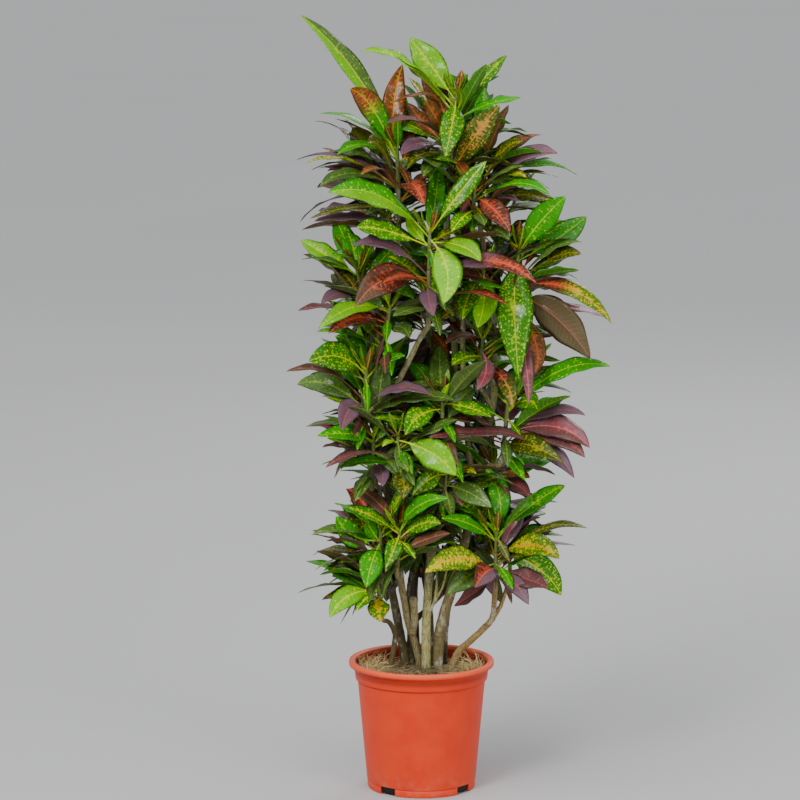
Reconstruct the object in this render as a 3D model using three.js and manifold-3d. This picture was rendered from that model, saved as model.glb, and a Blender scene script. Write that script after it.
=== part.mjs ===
// Potted croton: a bushy indoor shrub of several woody stems in a terracotta-coloured grower's pot.
// Millimetres, +Z up. The origin is the middle of the pot's base, and the plant's front looks along -Y.

import * as THREE from 'three';
import { mergeVertices } from 'three/addons/utils/BufferGeometryUtils.js';
import Module from 'manifold-3d';

const wasm = await Module();
wasm.setup();

// Clearance between neighbouring pieces.
const GAP = 0.35;
const UP = new THREE.Vector3(0, 0, 1);

// The pot, from its base up: foot band, tapering wall, stepped collar and rolled lip.
const POT = {
  height: 200,
  wall: 2.3,
  floor: 2.5,
  baseRadius: 83,
  footBandHeight: 11,
  grooveDepth: 1,
  wallTopRadius: 98.5,
  collarFrom: 171,
  collarRadius: 101,
  collarTopRadius: 104,
  lipFrom: 191,
  lipRadius: 112,
  lipInnerRadius: 105.5,
  sides: 36,
};
const DRAIN_SLOTS = { count: 4, firstAt: -39, width: 28, height: 13, depth: 26 };

// The potting mix: it fills the pot to a little under the lip and rises towards the stems.
// Below bend it follows the pot's wall, and above it widens with the collar by spread.
const SOIL = {
  edge: 178,
  middle: 184,
  bend: 170,
  spread: 0.6,
  sides: POT.sides / 2,
  holeBottom: 122,
  holeTop: 210,
  holeSides: 9,
};
const SOIL_MOUND = [[0, 1], [45, 0.85], [75, 0.5], [90, 0.2]];
const STEM_FOOT_TOP = 193;

// Where the plant is looked at from. Stems and leaves are placed as [x, z] on the upright plane through
// the pot's axis, the way they are seen from here, with their real depth along Y beside that.
const EYE = new THREE.Vector3(-33, -5680, 1509);

function alongSight(x, z, depth) {
  const scale = (depth - EYE.y) / (0 - EYE.y);
  return new THREE.Vector3(EYE.x + (x - EYE.x) * scale, depth, EYE.z + (z - EYE.z) * scale);
}

function asSeen(point) {
  const scale = (0 - EYE.y) / (point.y - EYE.y);
  return [EYE.x + (point.x - EYE.x) * scale, EYE.z + (point.z - EYE.z) * scale];
}

// Woody stems. Each has its foot in the soil [x, y], its radius there, and its branches: the first runs
// from the soil, the others start inside an earlier one. A branch lists [x, z, depth] points and its
// radius at both ends, and may carry a leafy shoot, which it then meets end to end.
const STEMS = {
  stem_left_thin: {
    foot: [-46, 22], radius: 4.6,
    branches: [
      { points: [[-42, 222, 20], [-41, 240, 14], [-50, 258, 0]], radii: [4.4, 3], shoot: 'foot_left' },
    ],
  },
  stem_left: {
    foot: [-25, 38], radius: 7.2,
    branches: [
      { points: [[-32, 235, 34], [-38, 270, 32], [-45, 305, 28], [-50, 345, 24], [-54, 400, 18],
        [-62, 445, 14], [-76, 490, 14], [-84, 545, 14], [-88, 600, 14], [-86, 660, 18]],
        radii: [7.2, 3.6], shoot: 'back_left_upper' },
      { points: [[-54, 400, 18], [-52, 440, 24], [-56, 500, 26], [-59, 560, 26], [-61, 620, 24],
        [-58, 690, 22], [-50, 750, 18], [-42, 810, 8]], radii: [5, 3.8], shoot: 'crown_left' },
      { points: [[-46, 312, 27], [-55, 316, 5]], radii: [4.5, 3.4], shoot: 'low_left' },
      { points: [[-66, 455, 14], [-74, 466, 0]], radii: [4, 3.4], shoot: 'mid_low_left' },
      { points: [[-81, 525, 14], [-86, 540, -5]], radii: [4, 3.4], shoot: 'mid_left' },
      { points: [[-60, 630, 24], [-62, 650, 5]], radii: [4, 3.4], shoot: 'mid_left_inner' },
      { points: [[-52, 735, 19], [-54, 790, 45]], radii: [4, 3.4], shoot: 'back_crown_left' },
      { points: [[-57, 520, 26], [-64, 530, 45]], radii: [4, 3.2], shoot: 'back_mid_left' },
    ],
  },
  stem_front: {
    foot: [-3, 18], radius: 6,
    branches: [
      { points: [[-10, 225, 16], [-20, 257, 9], [-26, 290, 2], [-32, 325, -4], [-33, 370, 2],
        [-28, 415, 8], [-27, 460, 8], [-32, 505, 4], [-40, 548, 0], [-45, 590, -6], [-40, 622, -14],
        [-28, 648, -24], [-14, 676, -36], [0, 704, -52]], radii: [6, 3.8], shoot: 'front_middle' },
      { points: [[-31, 318, -4], [-35, 328, -24]], radii: [4.2, 3.4], shoot: 'low_front' },
      { points: [[-28, 462, 8], [-34, 472, -20]], radii: [4, 3.2], shoot: 'mid_front' },
      { points: [[-15, 240, 12], [-11, 262, 3], [-13, 296, -3]], radii: [5.6, 6.2] },
    ],
  },
  stem_middle: {
    foot: [7, 2], radius: 7.2,
    branches: [
      { points: [[7, 235, 4], [8, 265, 8], [10, 305, 12], [13, 350, 16], [20, 400, 20], [27, 450, 24],
        [31, 505, 24], [40, 565, 26], [48, 625, 26], [50, 690, 26], [44, 760, 24], [38, 830, 16],
        [38, 885, 6]], radii: [7.2, 3.8], shoot: 'crown_middle' },
      { points: [[21, 398, 20], [28, 408, 4]], radii: [4, 3.2], shoot: 'low_middle' },
      { points: [[30, 480, 24], [28, 502, 0]], radii: [4, 3.4], shoot: 'mid_middle' },
      { points: [[49, 640, 26], [34, 660, 55]], radii: [4, 3.4], shoot: 'back_middle' },
      { points: [[40, 800, 20], [40, 845, 42]], radii: [4, 3.4], shoot: 'back_crown_middle' },
      { points: [[9, 270, 8], [19, 288, 5], [23, 310, 6], [23, 344, 6]], radii: [2.6, 1.4] },
      { points: [[19, 288, 5], [32, 312, 6], [41, 350, 4]], radii: [2, 1.2] },
    ],
  },
  stem_right: {
    foot: [25, 12], radius: 8.6,
    branches: [
      { points: [[28, 240, 12], [36, 275, 10], [46, 308, 8], [58, 350, 8], [70, 400, 8], [80, 447, 8],
        [88, 495, 8], [96, 540, 8], [105, 580, 10], [111, 620, 12], [110, 680, 14], [106, 740, 12],
        [98, 800, 8], [92, 850, 4]], radii: [8.6, 3.8], shoot: 'crown_right' },
      { points: [[109, 690, 14], [122, 716, -8]], radii: [4.4, 3.6], shoot: 'right' },
      { points: [[108, 700, 14], [98, 715, -14]], radii: [4, 3.2], shoot: 'inner_right' },
      { points: [[107, 595, 11], [97, 612, 0]], radii: [4, 3.2], shoot: 'mid_right_inner' },
      { points: [[89, 495, 8], [108, 503, -8]], radii: [4.4, 3.4], shoot: 'mid_right' },
      { points: [[84, 470, 8], [73, 515, 0], [70, 560, -4], [66, 620, -4], [62, 690, -4], [66, 760, -10],
        [72, 815, -26]], radii: [5, 3.4], shoot: 'front_right_upper' },
      { points: [[109, 720, 13], [112, 755, 40]], radii: [4, 3.4], shoot: 'back_right_upper' },
      { points: [[86, 480, 8], [88, 520, 48]], radii: [4, 3.2], shoot: 'back_right' },
    ],
  },
  stem_far_right: {
    foot: [45, 20], radius: 6,
    branches: [
      { points: [[58, 212, 17], [74, 227, 10], [94, 246, 0], [109, 264, -10], [112, 295, -22]],
        radii: [6, 3.6], shoot: 'low_right' },
      { points: [[108, 262, -9], [120, 280, -10], [129, 305, 0], [136, 340, 14], [128, 395, 22]],
        radii: [3.4, 2.6], shoot: 'low_right_inner' },
    ],
  },
  stem_back: {
    foot: [-6, 62], radius: 5.4,
    branches: [
      { points: [[-8, 240, 66], [-10, 300, 72], [-6, 355, 78]], radii: [5.4, 3.4], shoot: 'back_low' },
      { points: [[-9, 262, 68], [20, 290, 74], [48, 320, 72]], radii: [4.2, 3.2],
        shoot: 'back_low_right' },
    ],
  },
};
const STEM_SIDES = 6;
const STEM_STEP = 44;
// How far before a shoot's foot its branch already points along the shoot.
const SHOOT_LEAD = 14;

// Leafy shoots, as [x, z, depth] of their foot and of the crown where they grow. The older, lower half
// bears the red, purple and dark leaves and the young upper half the green ones. parts: 1 keeps a short
// shoot in one piece. Each leaf of a list is
//   [kind, tip x, tip z, middle x, middle z, base z, width, turn, reach]
// where kind is its colouring, the middle is the point half way along its midrib, turn is how far its
// upper face is turned from the sky towards the viewer, and reach is its real length from stem to tip:
// above 0 it comes towards the viewer, below 0 it leans away. fill is how many more leaves
// [young, old] are set round the shoot by rule.
const SHOOTS = {
  crown_left: {
    foot: [-34, 868, -6], crown: [-37, 992, -10], fill: [3, 5],
    leaves: [
      ['lime', -184, 1191, -102, 1105, 985, 34, 35, -256],
      ['flush', -109, 1079, -74, 1050, 970, 36, 72, 142],
      ['flush', -29, 1116, -43, 1045, 972, 36, 75, -150],
      ['green', -37, 1043, -36, 1008, 985, 14, 80, 74],
      ['green', -155, 1041, -92, 1028, 972, 30, 18, 145],
      ['purple', -163, 1030, -105, 1010, 960, 30, 4, -150],
      ['green', -128, 979, -88, 1010, 970, 32, 28, 125],
      ['olive', -82, 997, -60, 993, 968, 34, 40, 105],
      ['purple', -192, 970, -118, 994, 956, 32, 10, -165],
      ['gold', -178, 965, -112, 980, 955, 28, 6, 150],
      ['dark', -168, 955, -105, 970, 950, 26, 4, -150],
      ['dark', -155, 930, -105, 958, 942, 32, 25, 140],
      ['bronze', -92, 949, -60, 964, 940, 28, 20, 115],
      ['coral', 4, 903, -14, 936, 935, 36, 48, 115],
      ['purple', -185, 876, -125, 915, 905, 30, 6, -170],
      ['olive', -170, 882, -100, 900, 892, 30, 10, 155],
      ['dark', -85, 888, -55, 898, 888, 28, 24, 115],
      ['purple', -163, 878, -105, 885, 878, 34, 20, 145],
    ],
  },
  crown_middle: {
    foot: [42, 932, -4], crown: [52, 1070, -8], fill: [3, 4],
    leaves: [
      ['lime', -91, 1135, -28, 1126, 1050, 28, 20, 168],
      ['lime', -18, 1155, 15, 1112, 1060, 44, 80, -122],
      ['dust', 35, 975, 46, 1027, 1062, 38, 76, 112],
      ['lime', 40, 1080, 62, 1072, 1040, 14, 30, 66],
      ['bronze', 1, 1103, 22, 1072, 1000, 34, 52, -116],
      ['bronze', 5, 1061, 20, 1036, 990, 30, 50, 100],
      ['bronze', -22, 1058, 0, 1030, 985, 26, 42, -108],
      ['purple', -32, 978, -5, 1000, 988, 26, 42, 105],
      ['olive', -22, 958, 5, 984, 975, 28, 32, 100],
      ['dark', 2, 946, 18, 968, 970, 28, 42, 90],
      ['mottle', 118, 1056, 78, 1004, 952, 42, 82, 142],
      ['dark', 108, 1072, 82, 1042, 995, 28, 4, -115],
      ['dust', 128, 1130, 97, 1098, 1045, 28, 26, -118],
      ['green', 44, 1100, 50, 1080, 1050, 26, 60, -66],
      ['green', 78, 1097, 72, 1074, 1046, 24, 52, -68],
    ],
  },
  crown_right: {
    foot: [88, 888, 0], crown: [88, 985, -4], fill: [3, 4],
    leaves: [
      ['bronze', 183, 1009, 132, 1034, 930, 32, 18, -132],
      ['olive', 152, 999, 120, 990, 930, 34, 38, 108],
      ['purple', 205, 981, 150, 978, 925, 36, 32, 138],
      ['green', 235, 948, 178, 964, 945, 30, 15, 152],
      ['gold', 158, 945, 122, 955, 922, 30, 22, 108],
      ['olive', 208, 944, 150, 950, 915, 24, 4, -135],
      ['olive', 183, 916, 135, 925, 905, 26, 10, -122],
      ['purple', 148, 907, 118, 915, 900, 26, 14, 100],
    ],
  },
  front_right_upper: {
    foot: [75, 850, -42], crown: [80, 928, -46], parts: 1, fill: [0, 0],
    leaves: [
      ['green', 193, 919, 140, 937, 908, 32, 18, 135],
      ['coral', 134, 862, 108, 897, 915, 36, 60, 108],
      ['dust', 45, 862, 62, 884, 895, 28, 42, 88],
      ['dark', 95, 872, 89, 886, 892, 22, 42, 80],
      ['dark', 132, 850, 112, 866, 876, 26, 22, 98],
      ['olive', 20, 848, 48, 864, 868, 22, 18, 92],
    ],
  },
  front_middle: {
    foot: [10, 733, -72], crown: [12, 864, -78], fill: [0, 3],
    leaves: [
      ['green', -142, 922, -62, 923, 852, 50, 38, 176],
      ['green', 27, 965, 20, 908, 856, 30, 80, -126],
      ['dust', 98, 970, 60, 925, 858, 30, 62, -138],
      ['dust', -98, 868, -55, 864, 840, 36, 48, 130],
      ['purple', -105, 841, -50, 845, 794, 30, 32, 138],
      ['coral', -101, 748, -58, 801, 790, 46, 74, 142],
      ['coral', -62, 782, -25, 795, 780, 34, 32, 112],
      ['lime', -22, 885, -10, 864, 840, 20, 52, -72],
      ['lime', 33, 752, 38, 806, 852, 46, 84, 124],
      ['lime', 89, 817, 60, 840, 846, 34, 46, 104],
      ['coral', 175, 783, 104, 842, 792, 36, 38, 192],
      ['purple', 18, 733, 10, 762, 778, 28, 52, 88],
      ['dark', -44, 733, -14, 744, 745, 30, 22, 90],
    ],
  },
  inner_right: {
    foot: [88, 738, -42], crown: [94, 806, -46], parts: 1, fill: [0, 0],
    leaves: [
      ['lime', 85, 715, 95, 757, 798, 40, 84, 108],
      ['dust', 62, 728, 72, 766, 795, 32, 62, 100],
      ['mottle', 28, 728, 54, 746, 762, 26, 42, 88],
      ['olive', 58, 803, 80, 814, 790, 24, 18, 66],
    ],
  },
  right: {
    foot: [138, 742, -34], crown: [147, 840, -40], fill: [2, 2],
    leaves: [
      ['green', 218, 916, 180, 878, 830, 40, 80, 128],
      ['green', 249, 886, 208, 854, 818, 40, 62, -128],
      ['dark', 243, 846, 198, 838, 785, 28, 16, 115],
      ['bronze', 216, 873, 185, 850, 788, 20, 22, -112],
      ['olive', 242, 828, 198, 822, 780, 32, 32, 118],
      ['dust', 148, 637, 141, 752, 826, 56, 88, 204],
      ['gold', 289, 722, 225, 779, 778, 36, 32, 168],
      ['dark', 237, 789, 198, 803, 770, 28, 18, -122],
      ['brown', 257, 668, 202, 733, 768, 56, -72, 165],
      ['pink', 277, 731, 230, 746, 756, 28, 22, -152],
      ['bronze', 172, 645, 178, 692, 752, 28, 62, 118],
      ['pink', 163, 598, 158, 668, 748, 22, 72, 162],
    ],
  },
  back_left_upper: {
    foot: [-82, 712, 24], crown: [-98, 806, 20], fill: [3, 4],
    leaves: [
      ['lime', -183, 850, -142, 824, 795, 34, 42, -112],
      ['green', -137, 826, -110, 825, 792, 28, 32, 92],
      ['green', -113, 862, -104, 836, 796, 34, 62, -80],
      ['purple', -153, 752, -120, 774, 752, 32, 32, 100],
      ['dust', -146, 742, -120, 758, 768, 26, 22, -84],
    ],
  },
  mid_left_inner: {
    foot: [-60, 670, -20], crown: [-47, 750, -28], parts: 1, fill: [0, 0],
    leaves: [
      ['lime', -157, 714, -100, 748, 738, 34, 32, 138],
      ['coral', -142, 706, -100, 730, 722, 34, 38, 118],
      ['dark', -18, 700, -30, 722, 712, 28, 50, 70],
    ],
  },
  mid_left: {
    foot: [-88, 556, -26], crown: [-84, 654, -32], fill: [2, 3],
    leaves: [
      ['dust', -172, 664, -122, 680, 642, 48, 62, 108],
      ['green', -132, 703, -103, 686, 645, 34, 62, -88],
      ['brown', -207, 648, -140, 658, 600, 30, 14, 140],
      ['dark', -190, 628, -142, 630, 590, 36, 60, -118],
      ['green', -25, 672, -55, 664, 636, 26, 28, 76],
      ['purple', 18, 610, -35, 630, 596, 32, 28, 122],
      ['purple', -122, 556, -113, 594, 598, 34, 80, 90],
    ],
  },
  mid_low_left: {
    foot: [-76, 480, -22], crown: [-73, 550, -28], fill: [1, 2],
    leaves: [
      ['maroon', -172, 563, -125, 571, 508, 30, 14, -112],
      ['green', -160, 548, -112, 552, 540, 34, 42, 108],
      ['maroon', -152, 531, -115, 530, 504, 28, 16, 98],
      ['green', -58, 594, -58, 564, 536, 26, 76, -74],
      ['purple', -60, 470, -60, 496, 506, 26, 80, 58],
    ],
  },
  mid_front: {
    foot: [-38, 490, -46], crown: [-36, 554, -50], parts: 1, fill: [0, 0],
    leaves: [
      ['lime', 53, 487, 16, 522, 542, 46, 82, 118],
      ['lime', -60, 532, -49, 541, 538, 12, 30, 40],
      ['dark', -20, 493, -31, 512, 526, 20, 62, 60],
      ['olive', -28, 452, -28, 480, 505, 36, 80, 72],
    ],
  },
  mid_middle: {
    foot: [33, 520, -38], crown: [31, 612, -42], fill: [1, 2],
    leaves: [
      ['dust', -25, 550, -3, 580, 590, 34, 66, 88],
      ['green', -10, 606, 9, 602, 594, 22, 42, -58],
      ['dark', 28, 688, 28, 640, 556, 34, 80, -136],
      ['dust', 106, 578, 72, 592, 600, 30, 38, 98],
      ['brown', 57, 500, 40, 535, 552, 20, 62, 80],
      ['dark', 80, 622, 60, 612, 560, 32, 70, -88],
      ['lime', 42, 630, 35, 616, 604, 10, 62, 34],
    ],
  },
  mid_right_inner: {
    foot: [90, 638, -16], crown: [93, 702, -23], parts: 1, fill: [0, 1],
    leaves: [
      ['brown', 36, 690, 62, 704, 700, 30, 22, 82],
      ['dust', 46, 658, 66, 669, 672, 30, 42, 70],
      ['pink', 84, 620, 98, 650, 680, 28, 82, 82],
      ['purple', 52, 620, 64, 641, 655, 18, 62, 62],
      ['mottle', 138, 590, 128, 632, 662, 28, 80, 105],
    ],
  },
  mid_right: {
    foot: [124, 518, -24], crown: [132, 601, -31], fill: [1, 2],
    leaves: [
      ['green', 288, 656, 210, 662, 583, 34, 38, 176],
      ['dust', 177, 590, 172, 626, 589, 30, 62, 92],
      ['green', 149, 642, 146, 616, 597, 12, 62, -60],
      ['purple', 250, 580, 210, 610, 556, 30, 28, 132],
      ['pink', 257, 530, 214, 588, 552, 42, 48, 150],
      ['maroon', 250, 515, 198, 562, 546, 38, 52, 146],
      ['purple', 234, 483, 190, 550, 540, 32, 52, 140],
      ['olive', 217, 507, 160, 536, 528, 36, 62, 128],
    ],
  },
  low_right_inner: {
    foot: [113, 440, 14], crown: [110, 505, 10], parts: 1, fill: [0, 2],
    leaves: [
      ['bronze', 166, 483, 138, 494, 488, 28, 38, 76],
      ['maroon', 167, 452, 142, 474, 476, 28, 48, 76],
    ],
  },
  low_middle: {
    foot: [33, 426, -12], crown: [38, 492, -20], parts: 1, fill: [0, 1],
    leaves: [
      ['dust', -15, 455, 12, 481, 490, 30, 66, 68],
      ['dark', 108, 437, 70, 462, 472, 36, 62, 92],
      ['gold', 84, 490, 62, 498, 490, 18, 42, 60],
      ['dark', -12, 436, 10, 462, 464, 24, 18, 62],
      ['pink', 62, 440, 50, 455, 456, 14, 52, 46],
    ],
  },
  low_right: {
    foot: [114, 324, -34], crown: [115, 402, -38], fill: [1, 2],
    leaves: [
      ['green', 97, 500, 120, 452, 394, 34, 76, -118],
      ['green', 100, 414, 110, 402, 386, 14, 42, 40],
      ['green', 220, 472, 176, 446, 394, 28, 46, -136],
      ['pink', 158, 447, 138, 404, 356, 26, 62, -105],
      ['olive', 255, 405, 188, 416, 354, 30, 14, 152],
      ['gold', 212, 357, 170, 394, 380, 42, 52, 122],
      ['dark', 218, 393, 165, 388, 347, 24, 6, -122],
      ['purple', 237, 378, 175, 376, 346, 22, 4, -142],
      ['brown', 192, 368, 150, 368, 341, 24, 18, 100],
      ['dust', 215, 300, 178, 343, 372, 44, 70, 128],
      ['maroon', 195, 312, 160, 326, 338, 36, 52, 104],
      ['purple', 165, 285, 142, 320, 336, 28, 62, 92],
      ['coral', 82, 312, 99, 336, 340, 36, 72, 80],
      ['dark', 40, 302, 78, 334, 350, 40, 62, 104],
      ['maroon', 50, 283, 84, 306, 330, 30, 42, -92],
      ['green', 30, 420, 72, 412, 384, 30, 42, 102],
      ['gold', 5, 335, 62, 374, 335, 40, 62, 134],
    ],
  },
  low_front: {
    foot: [-37, 346, -46], crown: [-33, 404, -50], parts: 1, fill: [0, 0],
    leaves: [
      ['brown', 44, 397, 6, 387, 368, 28, 42, 98],
      ['dust', 30, 412, -1, 412, 388, 28, 62, 82],
      ['green', 42, 452, -8, 438, 396, 30, 46, 106],
      ['dark', -25, 462, -31, 428, 380, 30, 76, -98],
      ['dust', -55, 343, -42, 374, 396, 26, 76, 72],
    ],
  },
  low_left: {
    foot: [-62, 330, -30], crown: [-64, 408, -36], fill: [1, 2],
    leaves: [
      ['coral', -116, 467, -84, 444, 362, 28, 56, -132],
      ['olive', -122, 440, -94, 424, 358, 30, 52, -122],
      ['purple', -145, 433, -105, 424, 352, 24, 6, -130],
      ['green', -131, 425, -106, 394, 386, 38, 62, 84],
      ['green', -84, 422, -78, 404, 384, 28, 52, 56],
      ['green', -62, 460, -66, 432, 400, 28, 76, -70],
      ['green', -85, 312, -76, 352, 382, 38, 80, 94],
      ['olive', -168, 362, -125, 375, 346, 28, 14, -118],
      ['dust', -130, 351, -102, 358, 374, 16, 22, 76],
    ],
  },
  foot_left: {
    foot: [-62, 276, -30], crown: [-68, 322, -36], parts: 1, fill: [0, 0],
    leaves: [
      ['lime', -141, 265, -121, 315, 306, 34, 62, 104],
      ['gold', -62, 258, -66, 282, 300, 34, 76, 62],
      ['dark', -138, 330, -105, 329, 304, 28, 42, -84],
      ['brown', -106, 268, -92, 290, 296, 20, 32, -58],
    ],
  },
  back_crown_left: { foot: [-54, 850, 74], crown: [-62, 950, 80], fill: [5, 7], leaves: [] },
  back_crown_middle: { foot: [40, 900, 66], crown: [42, 1015, 66], fill: [5, 7], leaves: [] },
  back_right_upper: { foot: [114, 800, 72], crown: [122, 900, 78], fill: [5, 7], leaves: [] },
  back_middle: { foot: [12, 690, 92], crown: [6, 790, 98], fill: [5, 7], leaves: [] },
  back_mid_left: { foot: [-70, 550, 68], crown: [-76, 640, 74], fill: [5, 7], leaves: [] },
  back_right: { foot: [90, 560, 80], crown: [98, 655, 86], fill: [5, 7], leaves: [] },
  back_low: { foot: [-4, 400, 88], crown: [-8, 490, 94], fill: [5, 7], leaves: [] },
  back_low_right: { foot: [66, 346, 70], crown: [74, 425, 76], parts: 1, fill: [0, 8], leaves: [] },
};
const YOUNG_KINDS = ['lime', 'green', 'dust', 'flush'];
const SHOOT_SIDES = 5;
const FIRST_SEED = 1000;
const SHOOT_RADII = [3.8, 3.4, 2.6];
const YOUNG_FROM = 0.54;
const ROOT_RANGE = { old: [0.07, 0.48], young: [0.6, 0.97], whole: [0.08, 0.96] };

// A leaf: a stalk and a pointed blade that is flat above and keeled by its midrib below. Its sections
// are [place along the midrib, share of the full width]; leaves set by rule have fewer.
const LEAF = {
  rootHalf: 1,
  rootKeel: 1.4,
  stalkEnd: 0.16,
  stalkHalf: 1.7,
  stalkKeel: 2.6,
  keel: 1.6,
  sections: [[0.35, 0.76], [0.58, 1], [0.82, 0.56]],
  ruledSections: [[0.38, 0.84], [0.68, 0.9]],
};

// The furthest that a leaf's middle may lie off the line from root to tip, as a share of its length.
const MOST_BEND = 0.165;

// How a leaf may give way where another is: along the line of sight, then turned on its midrib.
const SIGHT_SHIFTS = [0, -9, 9, -18, 18, -28, 28, -40, 40, -55, 55];
const TURN_SHIFTS = [0, 14, -14, 28, -28];
// The same for a leaf that is set round its shoot by rule: round the stem, and up or down.
const ROUND_SHIFTS = [0, 11, -11, 22, -22, 34, -34, 48, -48];
const LIFT_SHIFTS = [0, 12, -12, 24];
// Clearance that a leaf keeps to other leaves: beside its edges, over and under it, and at its tip.
const ROOM = { beside: 0.9, over: 0.7, ahead: 1.2 };

// The bush's outline as seen from the front, [z, left, right]: leaves set by rule stay inside it.
const OUTLINE = [[262, -100, 120], [330, -140, 190], [450, -125, 215], [560, -150, 225], [660, -165, 240],
  [760, -150, 255], [880, -165, 225], [980, -165, 190], [1060, -110, 130], [1130, -70, 100]];
const DEPTH_LIMIT = 205;
const GOLDEN_ANGLE = 137.508;

// Leaves set by rule: degrees of lift above level at the shoot's foot and its gain up to the crown,
// length, and how far the midrib bows up as a share of the length. Old leaves lie lower and are longer.
const RULED = {
  young: { lift: 34, liftGain: 26, length: 120, bow: 0.06 },
  old: { lift: 4, liftGain: 22, length: 142, bow: 0.13 },
};
const RULED_WIDTH = { least: 0.28, gain: 0.06 };
const RULED_SPREAD = { round: 40, lift: 12, length: 28, roll: 50 };
// A shoot whose front leaves are listed has the ruled ones round its back, in degrees from +X.
const BACK_ARC = { from: -20, span: 220 };

const FINISHES = {
  pot: { color: new THREE.Color(0.68, 0.13, 0.05), roughness: 0.5, metalness: 0 },
  soil: { color: new THREE.Color(0.16, 0.11, 0.06), roughness: 1, metalness: 0 },
  bark: { color: new THREE.Color(0.22, 0.17, 0.1), roughness: 0.9, metalness: 0 },
  young: { color: new THREE.Color(0.16, 0.36, 0.03), roughness: 0.35, metalness: 0 },
  old: { color: new THREE.Color(0.22, 0.05, 0.05), roughness: 0.4, metalness: 0 },
};

const potted = new THREE.Group();

function addPiece(name, finish, solid) {
  const mesh = solid.getMesh();
  const geometry = new THREE.BufferGeometry();
  const corners = new Float32Array(mesh.numVert * 3);
  for (let v = 0; v < mesh.numVert; v++) {
    corners.set(mesh.vertProperties.subarray(v * mesh.numProp, v * mesh.numProp + 3), v * 3);
  }
  geometry.setAttribute('position', new THREE.BufferAttribute(corners, 3));
  geometry.setIndex(new THREE.BufferAttribute(new Uint32Array(mesh.triVerts), 1));
  geometry.computeVertexNormals();
  const piece = new THREE.Mesh(geometry, new THREE.MeshStandardMaterial(FINISHES[finish]));
  piece.name = name;
  potted.add(piece);
}

function solidFrom(points, triangles) {
  const vertProperties = new Float32Array(points.flatMap((p) => [p.x, p.y, p.z]));
  const triVerts = new Uint32Array(triangles.flat());
  return new wasm.Manifold(new wasm.Mesh({ numProp: 3, vertProperties, triVerts }));
}

// A closed three.js geometry as a solid, with its faces turned outwards.
function solidOf(geometry) {
  geometry.deleteAttribute('normal');
  geometry.deleteAttribute('uv');
  const merged = mergeVertices(geometry, 1e-3);
  const position = merged.getAttribute('position');
  const points = [];
  for (let i = 0; i < position.count; i++) {
    points.push(new THREE.Vector3().fromBufferAttribute(position, i));
  }
  let triangles = [];
  let volume = 0;
  for (let i = 0; i < merged.index.count; i += 3) {
    const [a, b, c] = [0, 1, 2].map((k) => merged.index.getX(i + k));
    if (a !== b && b !== c && c !== a) {
      triangles.push([a, b, c]);
      volume += points[a].dot(points[b].clone().cross(points[c]));
    }
  }
  if (volume < 0) {
    triangles = triangles.map(([a, b, c]) => [a, c, b]);
  }
  return solidFrom(points, triangles);
}

function turned(profile, sides) {
  const geometry = new THREE.LatheGeometry(profile.map(([r, z]) => new THREE.Vector2(r, z)), sides);
  geometry.rotateX(Math.PI / 2);
  return solidOf(geometry);
}

function joined(solids) {
  return solids.reduce((sum, solid) => sum.add(solid));
}

// Rings of corners joined into one closed skin, with a flat cap at each end.
function skin(rings) {
  const sides = rings[0].length;
  const points = rings.flat();
  const triangles = [];
  for (let r = 0; r + 1 < rings.length; r++) {
    for (let s = 0; s < sides; s++) {
      const a = r * sides + s;
      const b = r * sides + (s + 1) % sides;
      triangles.push([a, b, b + sides], [a, b + sides, a + sides]);
    }
  }
  const last = (rings.length - 1) * sides;
  for (let s = 1; s + 1 < sides; s++) {
    triangles.push([0, s + 1, s], [last, last + s, last + s + 1]);
  }
  return solidFrom(points, triangles);
}

// A tapering round stem through points, each with its radius and the direction its ring faces.
function roundStem(stations, sides) {
  let across = new THREE.Vector3(1, 0, 0);
  const rings = stations.map(({ point, radius, facing }) => {
    across = across.clone().addScaledVector(facing, -across.dot(facing)).normalize();
    const along = facing.clone().cross(across);
    return Array.from({ length: sides }, (_, s) => {
      const angle = (2 * Math.PI * s) / sides;
      return point.clone()
        .addScaledVector(across, radius * Math.cos(angle))
        .addScaledVector(along, radius * Math.sin(angle));
    });
  });
  return skin(rings);
}

// Pot

function innerWallRadius(z) {
  const share = (z - POT.floor) / (POT.collarFrom - POT.floor);
  return POT.baseRadius + (POT.wallTopRadius - POT.baseRadius) * Math.min(share, 1) - POT.wall;
}

function makePot() {
  const band = POT.footBandHeight;
  const outside = [
    [0, 0], [POT.baseRadius - 1.5, 0], [POT.baseRadius, 1.5], [POT.baseRadius + 0.4, band - 1],
    [POT.baseRadius + 0.4 - POT.grooveDepth, band], [POT.baseRadius + 1, band + 1.5],
    [POT.wallTopRadius, POT.collarFrom - 1], [POT.collarRadius, POT.collarFrom + 1.5],
    [POT.collarTopRadius, POT.lipFrom], [POT.lipRadius - 1, POT.lipFrom + 0.5],
    [POT.lipRadius, POT.lipFrom + 2.5], [POT.lipRadius, POT.height - 2], [POT.lipRadius - 1.6, POT.height],
  ];
  const inside = [
    [POT.lipInnerRadius, POT.height], [POT.collarTopRadius - POT.wall, POT.height - 3],
    [POT.collarRadius - POT.wall, POT.collarFrom + 2.5], [POT.wallTopRadius - POT.wall, POT.collarFrom],
    [POT.baseRadius - POT.wall, POT.floor], [0, POT.floor],
  ];
  let pot = turned([...outside, ...inside], POT.sides);
  for (let i = 0; i < DRAIN_SLOTS.count; i++) {
    const slot = new THREE.BoxGeometry(DRAIN_SLOTS.depth, DRAIN_SLOTS.width, DRAIN_SLOTS.height + 2);
    slot.translate(POT.baseRadius, 0, DRAIN_SLOTS.height / 2 - 1);
    slot.rotateZ(THREE.MathUtils.degToRad(DRAIN_SLOTS.firstAt + (360 / DRAIN_SLOTS.count) * i));
    pot = pot.subtract(solidOf(slot));
  }
  addPiece('pot', 'pot', pot);
}

// Soil, with a plain hole for each stem

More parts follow.
